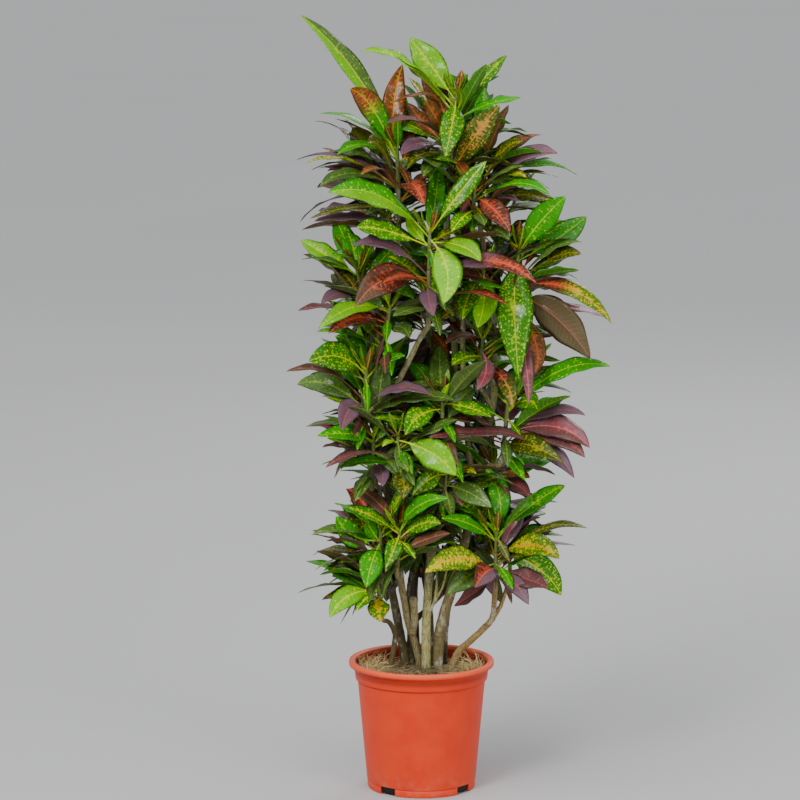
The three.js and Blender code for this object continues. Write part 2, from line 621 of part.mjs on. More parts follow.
function makeSoil() {
  const rise = SOIL.middle - SOIL.edge;
  const mound = SOIL_MOUND.map(([r, share]) => [r, SOIL.edge + rise * share]);
  const side = [
    [POT.wallTopRadius - POT.wall - GAP + SOIL.spread, SOIL.edge],
    [innerWallRadius(SOIL.bend) - GAP, SOIL.bend],
    [POT.baseRadius - POT.wall - GAP, POT.floor + GAP],
    [0, POT.floor + GAP],
  ];
  let soil = turned([...mound, ...side], SOIL.sides);
  for (const stem of Object.values(STEMS)) {
    const radius = (stem.radius + GAP) / Math.cos(Math.PI / SOIL.holeSides);
    const deep = SOIL.holeTop - SOIL.holeBottom;
    const hole = new THREE.CylinderGeometry(radius, radius, deep, SOIL.holeSides);
    hole.rotateX(Math.PI / 2);
    hole.translate(stem.foot[0], stem.foot[1], SOIL.holeBottom + deep / 2);
    soil = soil.subtract(solidOf(hole));
  }
  addPiece('soil', 'soil', soil);
}

// Woody stems

function shootEnds(shoot) {
  const foot = alongSight(...shoot.foot);
  const crown = alongSight(...shoot.crown);
  return { foot, crown, along: crown.clone().sub(foot).normalize() };
}

function branchStations(branch, start) {
  const points = branch.points.map((p) => alongSight(...p));
  if (start) {
    points.unshift(start);
  }
  let facingEnd = null;
  if (branch.shoot) {
    const { foot, along } = shootEnds(SHOOTS[branch.shoot]);
    points.push(foot.clone().addScaledVector(along, -SHOOT_LEAD));
    points.push(foot.clone().addScaledVector(along, -GAP));
    facingEnd = along;
  }
  const curve = new THREE.CatmullRomCurve3(points, false, 'centripetal');
  const steps = Math.max(2, Math.round(curve.getLength() / STEM_STEP));
  return Array.from({ length: steps + 1 }, (_, i) => {
    const share = i / steps;
    return {
      point: curve.getPointAt(share),
      radius: THREE.MathUtils.lerp(branch.radii[0], branch.radii[1], share),
      facing: i === steps && facingEnd ? facingEnd : curve.getTangentAt(share),
    };
  });
}

function makeStem(stem) {
  const [x, y] = stem.foot;
  const solids = stem.branches.map((branch, i) => {
    if (i > 0) {
      return roundStem(branchStations(branch, null), STEM_SIDES);
    }
    const top = new THREE.Vector3(x, y, STEM_FOOT_TOP);
    const bottom = new THREE.Vector3(x, y, SOIL.holeBottom + GAP);
    const stations = branchStations(branch, top);
    stations[0].facing = UP;
    return roundStem([{ point: bottom, radius: stem.radius, facing: UP }, ...stations], STEM_SIDES);
  });
  return joined(solids);
}

// Leaves

function mulberry32(seed) {
  let state = seed >>> 0;
  return () => {
    state = (state + 0x6d2b79f5) >>> 0;
    let t = state;
    t = Math.imul(t ^ (t >>> 15), t | 1);
    t ^= t + Math.imul(t ^ (t >>> 7), t | 61);
    return ((t ^ (t >>> 14)) >>> 0) / 4294967296;
  };
}

// The corners of a leaf's sections, root first: left edge, right edge and keel.
function leafRings(leaf, room) {
  const control = leaf.middle.clone().multiplyScalar(2)
    .addScaledVector(leaf.root, -0.5).addScaledVector(leaf.tip, -0.5);
  const across = leaf.tip.clone().sub(leaf.root).cross(leaf.face);
  const ring = (at, half, keel) => {
    const point = leaf.root.clone().multiplyScalar((1 - at) * (1 - at))
      .addScaledVector(control, 2 * at * (1 - at)).addScaledVector(leaf.tip, at * at);
    const along = control.clone().sub(leaf.root).multiplyScalar(1 - at)
      .addScaledVector(leaf.tip.clone().sub(control), at).normalize();
    const side = across.clone().addScaledVector(along, -across.dot(along)).normalize();
    const above = side.clone().cross(along);
    const top = point.clone().addScaledVector(above, room.over);
    return [
      top.clone().addScaledVector(side, half + room.beside),
      top.clone().addScaledVector(side, -half - room.beside),
      point.clone().addScaledVector(above, -keel - room.over),
    ];
  };
  return [
    ring(0, LEAF.rootHalf, LEAF.rootKeel),
    ring(LEAF.stalkEnd, LEAF.stalkHalf, LEAF.stalkKeel),
    ...leaf.sections.map(([at, share]) => ring(at, (leaf.width / 2) * share, LEAF.keel)),
  ];
}

function leafSolid(leaf, room = { beside: 0, over: 0, ahead: 0 }, withStalk = true) {
  const rings = leafRings(leaf, room);
  const used = withStalk ? rings : rings.slice(1);
  const ahead = leaf.tip.clone().sub(leaf.middle).normalize();
  const points = [...used.flat(), leaf.tip.clone().addScaledVector(ahead, room.ahead)];
  const triangles = [[0, 1, 2]];
  for (let r = 0; r + 1 < used.length; r++) {
    for (let s = 0; s < 3; s++) {
      const a = r * 3 + s;
      const b = r * 3 + (s + 1) % 3;
      triangles.push([a, a + 3, b + 3], [a, b + 3, b]);
    }
  }
  const last = (used.length - 1) * 3;
  for (let s = 0; s < 3; s++) {
    triangles.push([last + s, points.length - 1, last + (s + 1) % 3]);
  }
  return solidFrom(points, triangles);
}

function placedLeaf(shoot, entry, range, shift, turnShift) {
  const [, tipX, tipZ, midX, midZ, baseZ, width, turn, reach] = entry;
  const { foot, crown } = shootEnds(shoot);
  const share = THREE.MathUtils.clamp(
    (baseZ - shoot.foot[1]) / (shoot.crown[1] - shoot.foot[1]), range[0], range[1]);
  const root = foot.clone().lerp(crown, share);
  const [rootX, rootZ] = asSeen(root);
  const seen = Math.hypot(tipX - rootX, tipZ - rootZ);
  const depth = Math.sqrt(Math.max(reach * reach - seen * seen, 0));
  const tipDepth = root.y - Math.sign(reach) * depth + shift;
  const tip = alongSight(tipX, tipZ, tipDepth);
  const halfWay = root.clone().lerp(tip, 0.5);
  const bend = alongSight(midX, midZ, (root.y + tipDepth) / 2).sub(halfWay);
  const middle = halfWay.add(bend.clampLength(0, MOST_BEND * root.distanceTo(tip)));
  const angle = THREE.MathUtils.degToRad(turn + turnShift);
  const face = new THREE.Vector3(0, -Math.sin(angle), Math.cos(angle));
  return { root, middle, tip, face, width, sections: LEAF.sections };
}

function placedChoices(shoot, entry, range) {
  return TURN_SHIFTS.flatMap((turnShift) =>
    SIGHT_SHIFTS.map((shift) => placedLeaf(shoot, entry, range, shift, turnShift)));
}

function ruledChoices(shoot, index, count, range, age, random) {
  const { foot, crown } = shootEnds(shoot);
  const share = THREE.MathUtils.lerp(range[0], range[1], (index + 0.5) / count);
  const root = foot.clone().lerp(crown, share);
  const start = GOLDEN_ANGLE * index + RULED_SPREAD.round * random();
  const azimuth = shoot.leaves.length > 0 ? BACK_ARC.from + (start % BACK_ARC.span) : start;
  const rule = RULED[age];
  const lift = rule.lift + rule.liftGain * share + RULED_SPREAD.lift * (random() - 0.5);
  const length = rule.length + RULED_SPREAD.length * (random() - 0.5);
  const width = length * (RULED_WIDTH.least + RULED_WIDTH.gain * random());
  const roll = THREE.MathUtils.degToRad(RULED_SPREAD.roll * (random() - 0.5));
  return LIFT_SHIFTS.flatMap((liftShift) => ROUND_SHIFTS.map((roundShift) => {
    const a = THREE.MathUtils.degToRad(azimuth + roundShift);
    const e = THREE.MathUtils.degToRad(lift + liftShift);
    const ahead = new THREE.Vector3(Math.cos(a) * Math.cos(e), Math.sin(a) * Math.cos(e), Math.sin(e));
    const tip = root.clone().addScaledVector(ahead, length);
    const middle = root.clone().lerp(tip, 0.5).addScaledVector(UP, rule.bow * length);
    const face = new THREE.Vector3(-Math.sin(a) * Math.sin(roll), Math.cos(a) * Math.sin(roll),
      Math.cos(roll));
    return { root, middle, tip, face, width, sections: LEAF.ruledSections };
  }));
}

function insideOutline(leaf) {
  const [x, z] = asSeen(leaf.tip);
  const next = OUTLINE.findIndex(([height]) => height > z);
  if (next < 1 || Math.abs(leaf.tip.y) > DEPTH_LIMIT) {
    return false;
  }
  const [low, high] = [OUTLINE[next - 1], OUTLINE[next]];
  const share = (z - low[0]) / (high[0] - low[0]);
  const left = THREE.MathUtils.lerp(low[1], high[1], share);
  const right = THREE.MathUtils.lerp(low[2], high[2], share);
  return x > left && x < right;
}

// What already stands, each with its box, so that a new leaf can be kept clear of it.
const standing = [];

function addStanding(solid, piece) {
  const box = solid.boundingBox();
  standing.push({ solid, piece, min: box.min, max: box.max });
}

function meets(solid, skips) {
  const { min, max } = solid.boundingBox();
  return standing.some((other) => {
    if (skips(other) || [0, 1, 2].some((k) => min[k] > other.max[k] || max[k] < other.min[k])) {
      return false;
    }
    const shared = solid.intersect(other.solid);
    const crossed = !shared.isEmpty();
    shared.delete();
    return crossed;
  });
}

// The first choice that is clear of everything, or else clear of every other piece.
function firstFree(choices, piece) {
  for (const sameMayCross of [false, true]) {
    for (const leaf of choices) {
      const whole = leafSolid(leaf, ROOM);
      const blade = leafSolid(leaf, ROOM, false);
      const crossed = meets(whole, (other) => other.piece === piece)
        || (!sameMayCross && meets(blade, (other) => other.piece !== piece));
      whole.delete();
      blade.delete();
      if (!crossed) {
        return leaf;
      }
    }
  }
  return null;
}

function shootParts(name, shoot) {
  const { foot, crown, along } = shootEnds(shoot);
  const at = (share, radius, shift) => ({
    point: foot.clone().lerp(crown, share).addScaledVector(along, shift), radius, facing: along,
  });
  const [low, mid, top] = SHOOT_RADII;
  if (shoot.parts === 1) {
    const axis = roundStem([at(0, low, 0), at(1, top, 0)], SHOOT_SIDES);
    return [{ name: `shoot_${name}`, range: ROOT_RANGE.whole, ages: ['young', 'old'], axis }];
  }
  return [
    { name: `shoot_${name}_young`, range: ROOT_RANGE.young, ages: ['young'],
      axis: roundStem([at(YOUNG_FROM, mid, GAP / 2), at(1, top, 0)], SHOOT_SIDES) },
    { name: `shoot_${name}_old`, range: ROOT_RANGE.old, ages: ['old'],
      axis: roundStem([at(0, low, 0), at(YOUNG_FROM, mid, -GAP / 2)], SHOOT_SIDES) },
  ];
}

makePot();
makeSoil();
for (const [name, stem] of Object.entries(STEMS)) {
  const solid = makeStem(stem);
  addPiece(name, 'bark', solid);
  addStanding(solid, name);
}

const shoots = Object.entries(SHOOTS).map(([name, shoot], order) => {
  const parts = shootParts(name, shoot);
  for (const part of parts) {
    part.solids = [part.axis];
    addStanding(part.axis, part.name);
  }
  return { shoot, parts, random: mulberry32(FIRST_SEED + order) };
});

function growLeaf(part, choices) {
  const leaf = firstFree(choices, part.name);
  if (leaf) {
    const solid = leafSolid(leaf);
    part.solids.push(solid);
    addStanding(solid, part.name);
  }
}

for (const { shoot, parts } of shoots) {
  for (const entry of shoot.leaves) {
    const age = YOUNG_KINDS.includes(entry[0]) ? 'young' : 'old';
    const part = parts.find(({ ages }) => ages.includes(age));
    growLeaf(part, placedChoices(shoot, entry, part.range));
  }
}
for (const { shoot, parts, random } of shoots) {
  for (const [a, age] of ['young', 'old'].entries()) {
    const part = parts.find(({ ages }) => ages.includes(age));
    for (let k = 0; k < shoot.fill[a]; k++) {
      const choices = ruledChoices(shoot, k, shoot.fill[a], part.range, age, random);
      growLeaf(part, choices.filter(insideOutline));
    }
  }
}
for (const { parts } of shoots) {
  for (const { name, solids } of parts) {
    addPiece(name, name.endsWith('_old') ? 'old' : 'young', joined(solids));
  }
}

export default potted;
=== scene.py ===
import math
import random
from collections import namedtuple
from itertools import product

import bmesh
import bpy
from mathutils import Euler, Matrix, Vector, kdtree, noise


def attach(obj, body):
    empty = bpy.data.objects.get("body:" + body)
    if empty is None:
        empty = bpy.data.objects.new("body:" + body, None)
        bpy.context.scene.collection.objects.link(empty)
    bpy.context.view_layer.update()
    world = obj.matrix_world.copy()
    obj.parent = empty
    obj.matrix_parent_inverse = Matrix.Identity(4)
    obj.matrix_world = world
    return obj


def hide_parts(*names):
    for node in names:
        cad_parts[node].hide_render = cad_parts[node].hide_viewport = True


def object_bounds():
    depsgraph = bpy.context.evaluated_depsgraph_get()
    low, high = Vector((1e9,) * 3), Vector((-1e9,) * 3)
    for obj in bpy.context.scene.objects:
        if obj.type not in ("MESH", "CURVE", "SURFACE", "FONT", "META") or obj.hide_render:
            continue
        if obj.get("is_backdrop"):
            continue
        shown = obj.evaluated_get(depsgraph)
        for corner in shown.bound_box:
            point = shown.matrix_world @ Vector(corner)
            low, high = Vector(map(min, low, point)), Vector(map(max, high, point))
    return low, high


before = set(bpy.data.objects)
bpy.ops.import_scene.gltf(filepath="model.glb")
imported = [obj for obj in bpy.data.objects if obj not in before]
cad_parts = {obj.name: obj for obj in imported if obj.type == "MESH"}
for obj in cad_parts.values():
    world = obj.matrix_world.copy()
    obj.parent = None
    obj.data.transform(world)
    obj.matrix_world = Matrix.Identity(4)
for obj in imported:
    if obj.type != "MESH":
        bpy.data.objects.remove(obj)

CAD_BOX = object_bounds()
MM = 0.001
UP = Vector((0, 0, 1))

# Where the plant is looked at from, in millimetres, with the lens that gives the photo's frame.
EYE = Vector((-33, -5680, 1509))
LOOK_DOWN = 9.05
LENS = 169.65
SENSOR = 36


def along_sight(x, z, depth):
    """The point at a depth that is seen from the front at x and z of the upright plane through the pot."""
    scale = (depth - EYE.y) / -EYE.y
    return Vector((EYE.x + (x - EYE.x) * scale, depth, EYE.z + (z - EYE.z) * scale))


def as_seen(point):
    scale = -EYE.y / (point.y - EYE.y)
    return EYE.x + (point.x - EYE.x) * scale, EYE.z + (point.z - EYE.z) * scale


def between(ends, share):
    """The value at a share of the way from one end to the other."""
    return ends[0] + (ends[1] - ends[0]) * share


def blend(one, two, share):
    return [between(ends, share) for ends in zip(one, two)]


def numbers(words):
    return [float(word) for word in words]


def read_table(text):
    """A table's groups: the words of the heading's name and of its parts, and the words of each row."""
    groups = []
    for row in text.split(";")[:-1]:
        name, colon, rest = row.partition(":")
        parts = [part.split() for part in (rest if colon else row).split(",")]
        if colon:
            groups.append((name.split(), parts, []))
        else:
            groups[-1][2].append(parts)
    return groups


def read_stems(text):
    """Each stem's branches: the shoot at its end, the radii at both ends, and the points between."""
    return {name: [(start[0], numbers(start[1:]), [numbers(point) for point in points])
                   for start, *points in rows] for (name,), _, rows in read_table(text)}


def read_shoots(text):
    shoots = {}
    for (name, *whole), (foot, crown, fill), rows in read_table(text):
        foot, crown = numbers(foot), numbers(crown)
        shoots[name] = {
            "foot": along_sight(*foot), "crown": along_sight(*crown), "heights": (foot[1], crown[1]),
            "fill": [int(count) for count in fill], "whole": bool(whole),
            "leaves": [(kind, *numbers(sizes)) for ((kind, *sizes),) in rows],
        }
    return shoots


def mesh_of(name, bm):
    mesh = bpy.data.meshes.new(name)
    bm.to_mesh(mesh)
    bm.free()
    return mesh


def stamped(bm, pattern):
    """Adds a pattern to a bmesh and gives its corners there."""
    known = len(bm.verts)
    bm.from_mesh(pattern)
    bm.verts.ensure_lookup_table()
    return bm.verts[known:]


def put(name, data):
    """A new object in the scene."""
    made = bpy.data.objects.new(name, data)
    bpy.context.scene.collection.objects.link(made)
    return made


def spun(points, steps, near):
    """A profile of (radius, height) points turned round the upright axis."""
    bm = bmesh.new()
    ring = [bm.verts.new((radius, 0, height)) for radius, height in points]
    edges = [bm.edges.new(pair) for pair in zip(ring, ring[1:])]
    bmesh.ops.spin(bm, geom=ring + edges, axis=UP, cent=(0, 0, 0), angle=math.tau, steps=steps,
                   use_merge=True)
    bmesh.ops.remove_doubles(bm, verts=bm.verts[:], dist=near)
    bmesh.ops.recalc_face_normals(bm, faces=bm.faces[:])
    return bm


# The woody stems, in millimetres. A row is the shoot that the branch bears, or "end", with the radii at
# both ends, and then its points: x and z as seen from the front, on the upright plane through the pot,
# and depth. A first point of two numbers is where the branch rises from the mix, x and y.
STEMS = read_stems("""
stem_left_thin:;
foot_left 4.4 3, -46 22, -42 222 20, -41 240 14, -50 258 0;
stem_left:;
back_left_upper 7.2 3.6, -25 38, -32 235 34, -38 270 32, -45 305 28, -50 345 24, -54 400 18, -62 445
    14, -76 490 14, -84 545 14, -88 600 14, -86 660 18;
crown_left 5 3.8, -54 400 18, -52 440 24, -56 500 26, -59 560 26, -61 620 24, -58 690 22, -50 750
    18, -42 810 8;
low_left 4.5 3.4, -46 312 27, -55 316 5;
mid_low_left 4 3.4, -66 455 14, -74 466 0;
mid_left 4 3.4, -81 525 14, -86 540 -5;
mid_left_inner 4 3.4, -60 630 24, -62 650 5;
back_crown_left 4 3.4, -52 735 19, -54 790 45;
back_mid_left 4 3.2, -57 520 26, -64 530 45;
stem_front:;
front_middle 6 3.8, -3 18, -10 225 16, -20 257 9, -26 290 2, -32 325 -4, -33 370 2, -28 415 8, -27
    460 8, -32 505 4, -40 548 0, -45 590 -6, -40 622 -14, -28 648 -24, -14 676 -36, 0 704 -52;
low_front 4.2 3.4, -31 318 -4, -35 328 -24;
mid_front 4 3.2, -28 462 8, -34 472 -20;
end 5.6 6.2, -15 240 12, -11 262 3, -13 296 -3;
stem_middle:;
crown_middle 7.2 3.8, 7 2, 7 235 4, 8 265 8, 10 305 12, 13 350 16, 20 400 20, 27 450 24, 31 505 24,
    40 565 26, 48 625 26, 50 690 26, 44 760 24, 38 830 16, 38 885 6;
low_middle 4 3.2, 21 398 20, 28 408 4;
mid_middle 4 3.4, 30 480 24, 28 502 0;
back_middle 4 3.4, 49 640 26, 34 660 55;
back_crown_middle 4 3.4, 40 800 20, 40 845 42;
end 2.6 1.4, 9 270 8, 19 288 5, 23 310 6, 23 344 6;
end 2 1.2, 19 288 5, 32 312 6, 41 350 4;
stem_right:;
crown_right 8.6 3.8, 25 12, 28 240 12, 36 275 10, 46 308 8, 58 350 8, 70 400 8, 80 447 8, 88 495 8,
    96 540 8, 105 580 10, 111 620 12, 110 680 14, 106 740 12, 98 800 8, 92 850 4;
right 4.4 3.6, 109 690 14, 122 716 -8;
inner_right 4 3.2, 108 700 14, 98 715 -14;
mid_right_inner 4 3.2, 107 595 11, 97 612 0;
mid_right 4.4 3.4, 89 495 8, 108 503 -8;
front_right_upper 5 3.4, 84 470 8, 73 515 0, 70 560 -4, 66 620 -4, 62 690 -4, 66 760 -10, 72 815 -26;
back_right_upper 4 3.4, 109 720 13, 112 755 40;
back_right 4 3.2, 86 480 8, 88 520 48;
stem_far_right:;
low_right 6 3.6, 45 20, 58 212 17, 74 227 10, 94 246 0, 109 264 -10, 112 295 -22;
low_right_inner 3.4 2.6, 108 262 -9, 120 280 -10, 129 305 0, 136 340 14, 128 395 22;
stem_back:;
back_low 5.4 3.4, -6 62, -8 240 66, -10 300 72, -6 355 78;
back_low_right 4.2 3.2, -9 262 68, 20 290 74, 48 320 72;
end 6.6 5.2, -18 44, -16 240 48, -18 300 56, -12 350 68;
end 6.2 5, 15 42, 14 240 44, 11 290 52, 2 345 66;
end 4.6 3.6, 36 44, 37 240 50, 43 290 60, 50 335 72;
""")

# The leafy shoots: foot and crown [x, z, depth], and how many young and old leaves are set round them by
# # rule. Then the leaves listed one by one: kind, tip [x, z], middle [x, z], the height of the root, width,
# # turn and reach. turn is how far the upper face is turned from the sky towards the viewer, in degrees,
# # and reach the length from stem to tip: above 0 the leaf comes towards the viewer, below 0 it leans
# # away. A whole shoot is one node, and the others are two.
SHOOTS = read_shoots("""
crown_left: -34 868 -6, -37 992 -10, 3 5;
lime -184 1191 -102 1105 985 34 35 -256; flush -109 1079 -74 1050 970 36 72 142;
flush -29 1116 -43 1045 972 36 75 -150; green -37 1043 -36 1008 985 14 80 74;
green -155 1041 -92 1028 972 30 18 145; purple -163 1030 -105 1010 960 30 4 -150;
green -128 979 -88 1010 970 32 28 125; olive -82 997 -60 993 968 34 40 105;
purple -192 970 -118 994 956 32 10 -165; gold -178 965 -112 980 955 28 6 150;
dark -168 955 -105 970 950 26 4 -150; dark -155 930 -105 958 942 32 25 140;
bronze -92 949 -60 964 940 28 20 115; coral 4 903 -14 936 935 36 48 115;
purple -185 876 -125 915 905 30 6 -170; olive -170 882 -100 900 892 30 10 155;
dark -85 888 -55 898 888 28 24 115; purple -163 878 -105 885 878 34 20 145;
crown_middle: 42 932 -4, 52 1070 -8, 3 4;
lime -91 1135 -28 1126 1050 28 20 168; lime -18 1155 15 1112 1060 44 80 -122;
dust 35 975 46 1027 1062 38 76 112; lime 40 1080 62 1072 1040 14 30 66;
bronze 1 1103 22 1072 1000 34 52 -116; bronze 5 1061 20 1036 990 30 50 100;
bronze -22 1058 0 1030 985 26 42 -108; purple -32 978 -5 1000 988 26 42 105;
olive -22 958 5 984 975 28 32 100; dark 2 946 18 968 970 28 42 90;
mottle 118 1056 78 1004 952 42 82 142; dark 108 1072 82 1042 995 28 4 -115;
dust 128 1130 97 1098 1045 28 26 -118; green 44 1100 50 1080 1050 26 60 -66;
green 78 1097 72 1074 1046 24 52 -68;
crown_right: 88 888 0, 88 985 -4, 3 4;
bronze 183 1009 132 1034 930 32 18 -132; olive 152 999 120 990 930 34 38 108;
purple 205 981 150 978 925 36 32 138; green 235 948 178 964 945 30 15 152;
gold 158 945 122 955 922 30 22 108; olive 208 944 150 950 915 24 4 -135;
olive 183 916 135 925 905 26 10 -122; purple 148 907 118 915 900 26 14 100;
front_right_upper whole: 75 850 -42, 80 928 -46, 0 0;
green 193 919 140 937 908 32 18 135; coral 134 862 108 897 915 36 60 108;
dust 45 862 62 884 895 28 42 88; dark 95 872 89 886 892 22 42 80; dark 132 850 112 866 876 26 22 98;
olive 20 848 48 864 868 22 18 92;
front_middle: 10 733 -72, 12 864 -78, 0 3;
green -142 922 -62 923 852 50 38 176; green 27 965 20 908 856 30 80 -126;
dust 98 970 60 925 858 30 62 -138; dust -98 868 -55 864 840 36 48 130;
purple -105 841 -50 845 794 30 32 138; coral -101 748 -58 801 790 46 74 142;
coral -62 782 -25 795 780 34 32 112; lime -22 885 -10 864 840 20 52 -72;
lime 33 752 38 806 852 46 84 124; lime 89 817 60 840 846 34 46 104;
coral 175 783 104 842 792 36 38 192; purple 18 733 10 762 778 28 52 88;
dark -44 733 -14 744 745 30 22 90;
inner_right whole: 88 738 -42, 94 806 -46, 0 0;
lime 85 715 95 757 798 40 84 108; dust 62 728 72 766 795 32 62 100;
mottle 28 728 54 746 762 26 42 88; olive 58 803 80 814 790 24 18 66;
right: 138 742 -34, 147 840 -40, 2 2;
green 218 916 180 878 830 40 80 128; green 249 886 208 854 818 40 62 -128;
dark 243 846 198 838 785 28 16 115; bronze 216 873 185 850 788 20 22 -112;
olive 242 828 198 822 780 32 32 118; dust 148 637 141 752 826 56 88 204;
gold 289 722 225 779 778 36 32 168; dark 237 789 198 803 770 28 18 -122;
brown 257 668 202 733 768 56 -72 165; pink 277 731 230 746 756 28 22 -152;
bronze 172 645 178 692 752 28 62 118; pink 163 598 158 668 748 22 72 162;
back_left_upper: -82 712 24, -98 806 20, 3 4;
lime -183 850 -142 824 795 34 42 -112; green -137 826 -110 825 792 28 32 92;
green -113 862 -104 836 796 34 62 -80; purple -153 752 -120 774 752 32 32 100;
dust -146 742 -120 758 768 26 22 -84;
mid_left_inner whole: -60 670 -20, -47 750 -28, 0 0;
lime -157 714 -100 748 738 34 32 138; coral -142 706 -100 730 722 34 38 118;
dark -18 700 -30 722 712 28 50 70;
mid_left: -88 556 -26, -84 654 -32, 2 3;
dust -172 664 -122 680 642 48 62 108; green -132 703 -103 686 645 34 62 -88;
brown -207 648 -140 658 600 30 14 140; dark -190 628 -142 630 590 36 60 -118;
green -25 672 -55 664 636 26 28 76; purple 18 610 -35 630 596 32 28 122;
purple -122 556 -113 594 598 34 80 90;
mid_low_left: -76 480 -22, -73 550 -28, 1 2;
maroon -172 563 -125 571 508 30 14 -112; green -160 548 -112 552 540 34 42 108;
maroon -152 531 -115 530 504 28 16 98; green -58 594 -58 564 536 26 76 -74;
purple -60 470 -60 496 506 26 80 58;
mid_front whole: -38 490 -46, -36 554 -50, 0 0;
lime 53 487 16 522 542 46 82 118; lime -60 532 -49 541 538 12 30 40;
dark -20 493 -31 512 526 20 62 60; olive -28 452 -28 480 505 36 80 72;
mid_middle: 33 520 -38, 31 612 -42, 1 2;
dust -25 550 -3 580 590 34 66 88; green -10 606 9 602 594 22 42 -58;
dark 28 688 28 640 556 34 80 -136; dust 106 578 72 592 600 30 38 98;
brown 57 500 40 535 552 20 62 80; dark 80 622 60 612 560 32 70 -88; lime 42 630 35 616 604 10 62 34;
mid_right_inner whole: 90 638 -16, 93 702 -23, 0 1;
brown 36 690 62 704 700 30 22 82; dust 46 658 66 669 672 30 42 70; pink 84 620 98 650 680 28 82 82;
purple 52 620 64 641 655 18 62 62; mottle 138 590 128 632 662 28 80 105;
mid_right: 124 518 -24, 132 601 -31, 1 2;
green 288 656 210 662 583 34 38 176; dust 177 590 172 626 589 30 62 92;
green 149 642 146 616 597 12 62 -60; purple 250 580 210 610 556 30 28 132;
pink 257 530 214 588 552 42 48 150; maroon 250 515 198 562 546 38 52 146;
purple 234 483 190 550 540 32 52 140; olive 217 507 160 536 528 36 62 128;
low_right_inner whole: 113 440 14, 110 505 10, 0 2;
bronze 166 483 138 494 488 28 38 76; maroon 167 452 142 474 476 28 48 76;
low_middle whole: 33 426 -12, 38 492 -20, 0 1;
dust -15 455 12 481 490 30 66 68; dark 108 437 70 462 472 36 62 92; gold 84 490 62 498 490 18 42 60;
dark -12 436 10 462 464 24 18 62; pink 62 440 50 455 456 14 52 46;
low_right: 114 324 -34, 115 402 -38, 1 2;
green 97 500 120 452 394 34 76 -118; green 100 414 110 402 386 14 42 40;
green 220 472 176 446 394 28 46 -136; pink 158 447 138 404 356 26 62 -105;
olive 255 405 188 416 354 30 14 152; gold 212 357 170 394 380 42 52 122;
dark 218 393 165 388 347 24 6 -122; purple 237 378 175 376 346 22 4 -142;
brown 192 368 150 368 341 24 18 100; dust 215 300 178 343 372 44 70 128;
maroon 195 312 160 326 338 36 52 104; purple 165 285 142 320 336 28 62 92;
coral 82 312 99 336 340 36 72 80; dark 40 302 78 334 350 40 62 104;
maroon 50 283 84 306 330 30 42 -92; green 30 420 72 412 384 30 42 102;
gold 5 335 62 374 335 40 62 134;
low_front whole: -37 346 -46, -33 404 -50, 0 0;
brown 44 397 6 387 368 28 42 98; dust 30 412 -1 412 388 28 62 82; green 42 452 -8 438 396 30 46 106;
dark -25 462 -31 428 380 30 76 -98; dust -55 343 -42 374 396 26 76 72;
low_left: -62 330 -30, -64 408 -36, 1 2;
coral -116 467 -84 444 362 28 56 -132; olive -122 440 -94 424 358 30 52 -122;
purple -145 433 -105 424 352 24 6 -130; green -131 425 -106 394 386 38 62 84;
green -84 422 -78 404 384 28 52 56; green -62 460 -66 432 400 28 76 -70;
green -85 312 -76 352 382 38 80 94; olive -168 362 -125 375 346 28 14 -118;
dust -130 351 -102 358 374 16 22 76;
foot_left whole: -62 276 -30, -68 322 -36, 0 0;
lime -141 265 -121 315 306 34 62 104; gold -62 258 -66 282 300 34 76 62;
dark -138 330 -105 329 304 28 42 -84; brown -106 268 -92 290 296 20 32 -58;
back_crown_left: -54 850 74, -62 950 80, 5 7;
back_crown_middle: 40 900 66, 42 1015 66, 5 7;
back_right_upper: 114 800 72, 122 900 78, 5 7;
back_middle: 12 690 92, 6 790 98, 5 7;
back_mid_left: -70 550 68, -76 640 74, 5 7;
back_right: 90 560 80, 98 655 86, 5 7;
back_low: -4 400 88, -8 490 94, 5 7;
back_low_right whole: 66 346 70, 74 425 76, 0 8;
""")

# A leaf: its midrib's ends and middle, the way its upper face looks, its width and colouring, the
# # sections by which it is found in the solid, and its tip as listed.
Leaf = namedtuple("Leaf", "root tip middle face width kind sections mark", defaults=(None, (), None))
YOUNG_KINDS = ("lime", "green", "dust", "flush")
FIRST_SEED = 1000
YOUNG_FROM = 0.54
ROOT_RANGE = {"old": (0.07, 0.48), "young": (0.6, 0.97), "whole": (0.08, 0.96)}

STALK_END = 0.16
# The solid leaf's sections, root first: [place along the midrib, share of the full width].
PLACED_SECTIONS = ((0.35, 0.76), (0.58, 1), (0.82, 0.56))
RULED_SECTIONS = ((0.38, 0.84), (0.68, 0.9))
# How far a leaf's middle stands off the straight line from root to tip at most, as a share of it.
MOST_BEND = 0.165

# How a leaf may have given way where another is, in the order in which that was tried.
SIGHT_SHIFTS = (0, -9, 9, -18, 18, -28, 28, -40, 40, -55, 55)
TURN_SHIFTS = (0, 14, -14, 28, -28)
ROUND_SHIFTS = (0, 11, -11, 22, -22, 34, -34, 48, -48)
LIFT_SHIFTS = (0, 12, -12, 24)

# How leaves that are set by rule stand: degrees, millimetres, and widths and bows as shares of the length.
# A lift and a width are the least and what is added to it.
GOLDEN_ANGLE = 137.508
RULED_LIFT = {"young": (34, 26), "old": (4, 22)}
RULED_LENGTH = {"young": 120, "old": 142}
RULED_BOW = {"young": 0.06, "old": 0.13}
RULED_WIDTH = (0.28, 0.06)
SPREAD = {"round": 40, "lift": 12, "length": 28, "roll": 50}
# Round a shoot with listed leaves they keep to the back and sides.
BACK_FROM, BACK_SPAN = -20, 220
# How near a leaf's corners must be to the solid's for the two to be the same leaf.
SAME_PLACE = 0.06 * MM


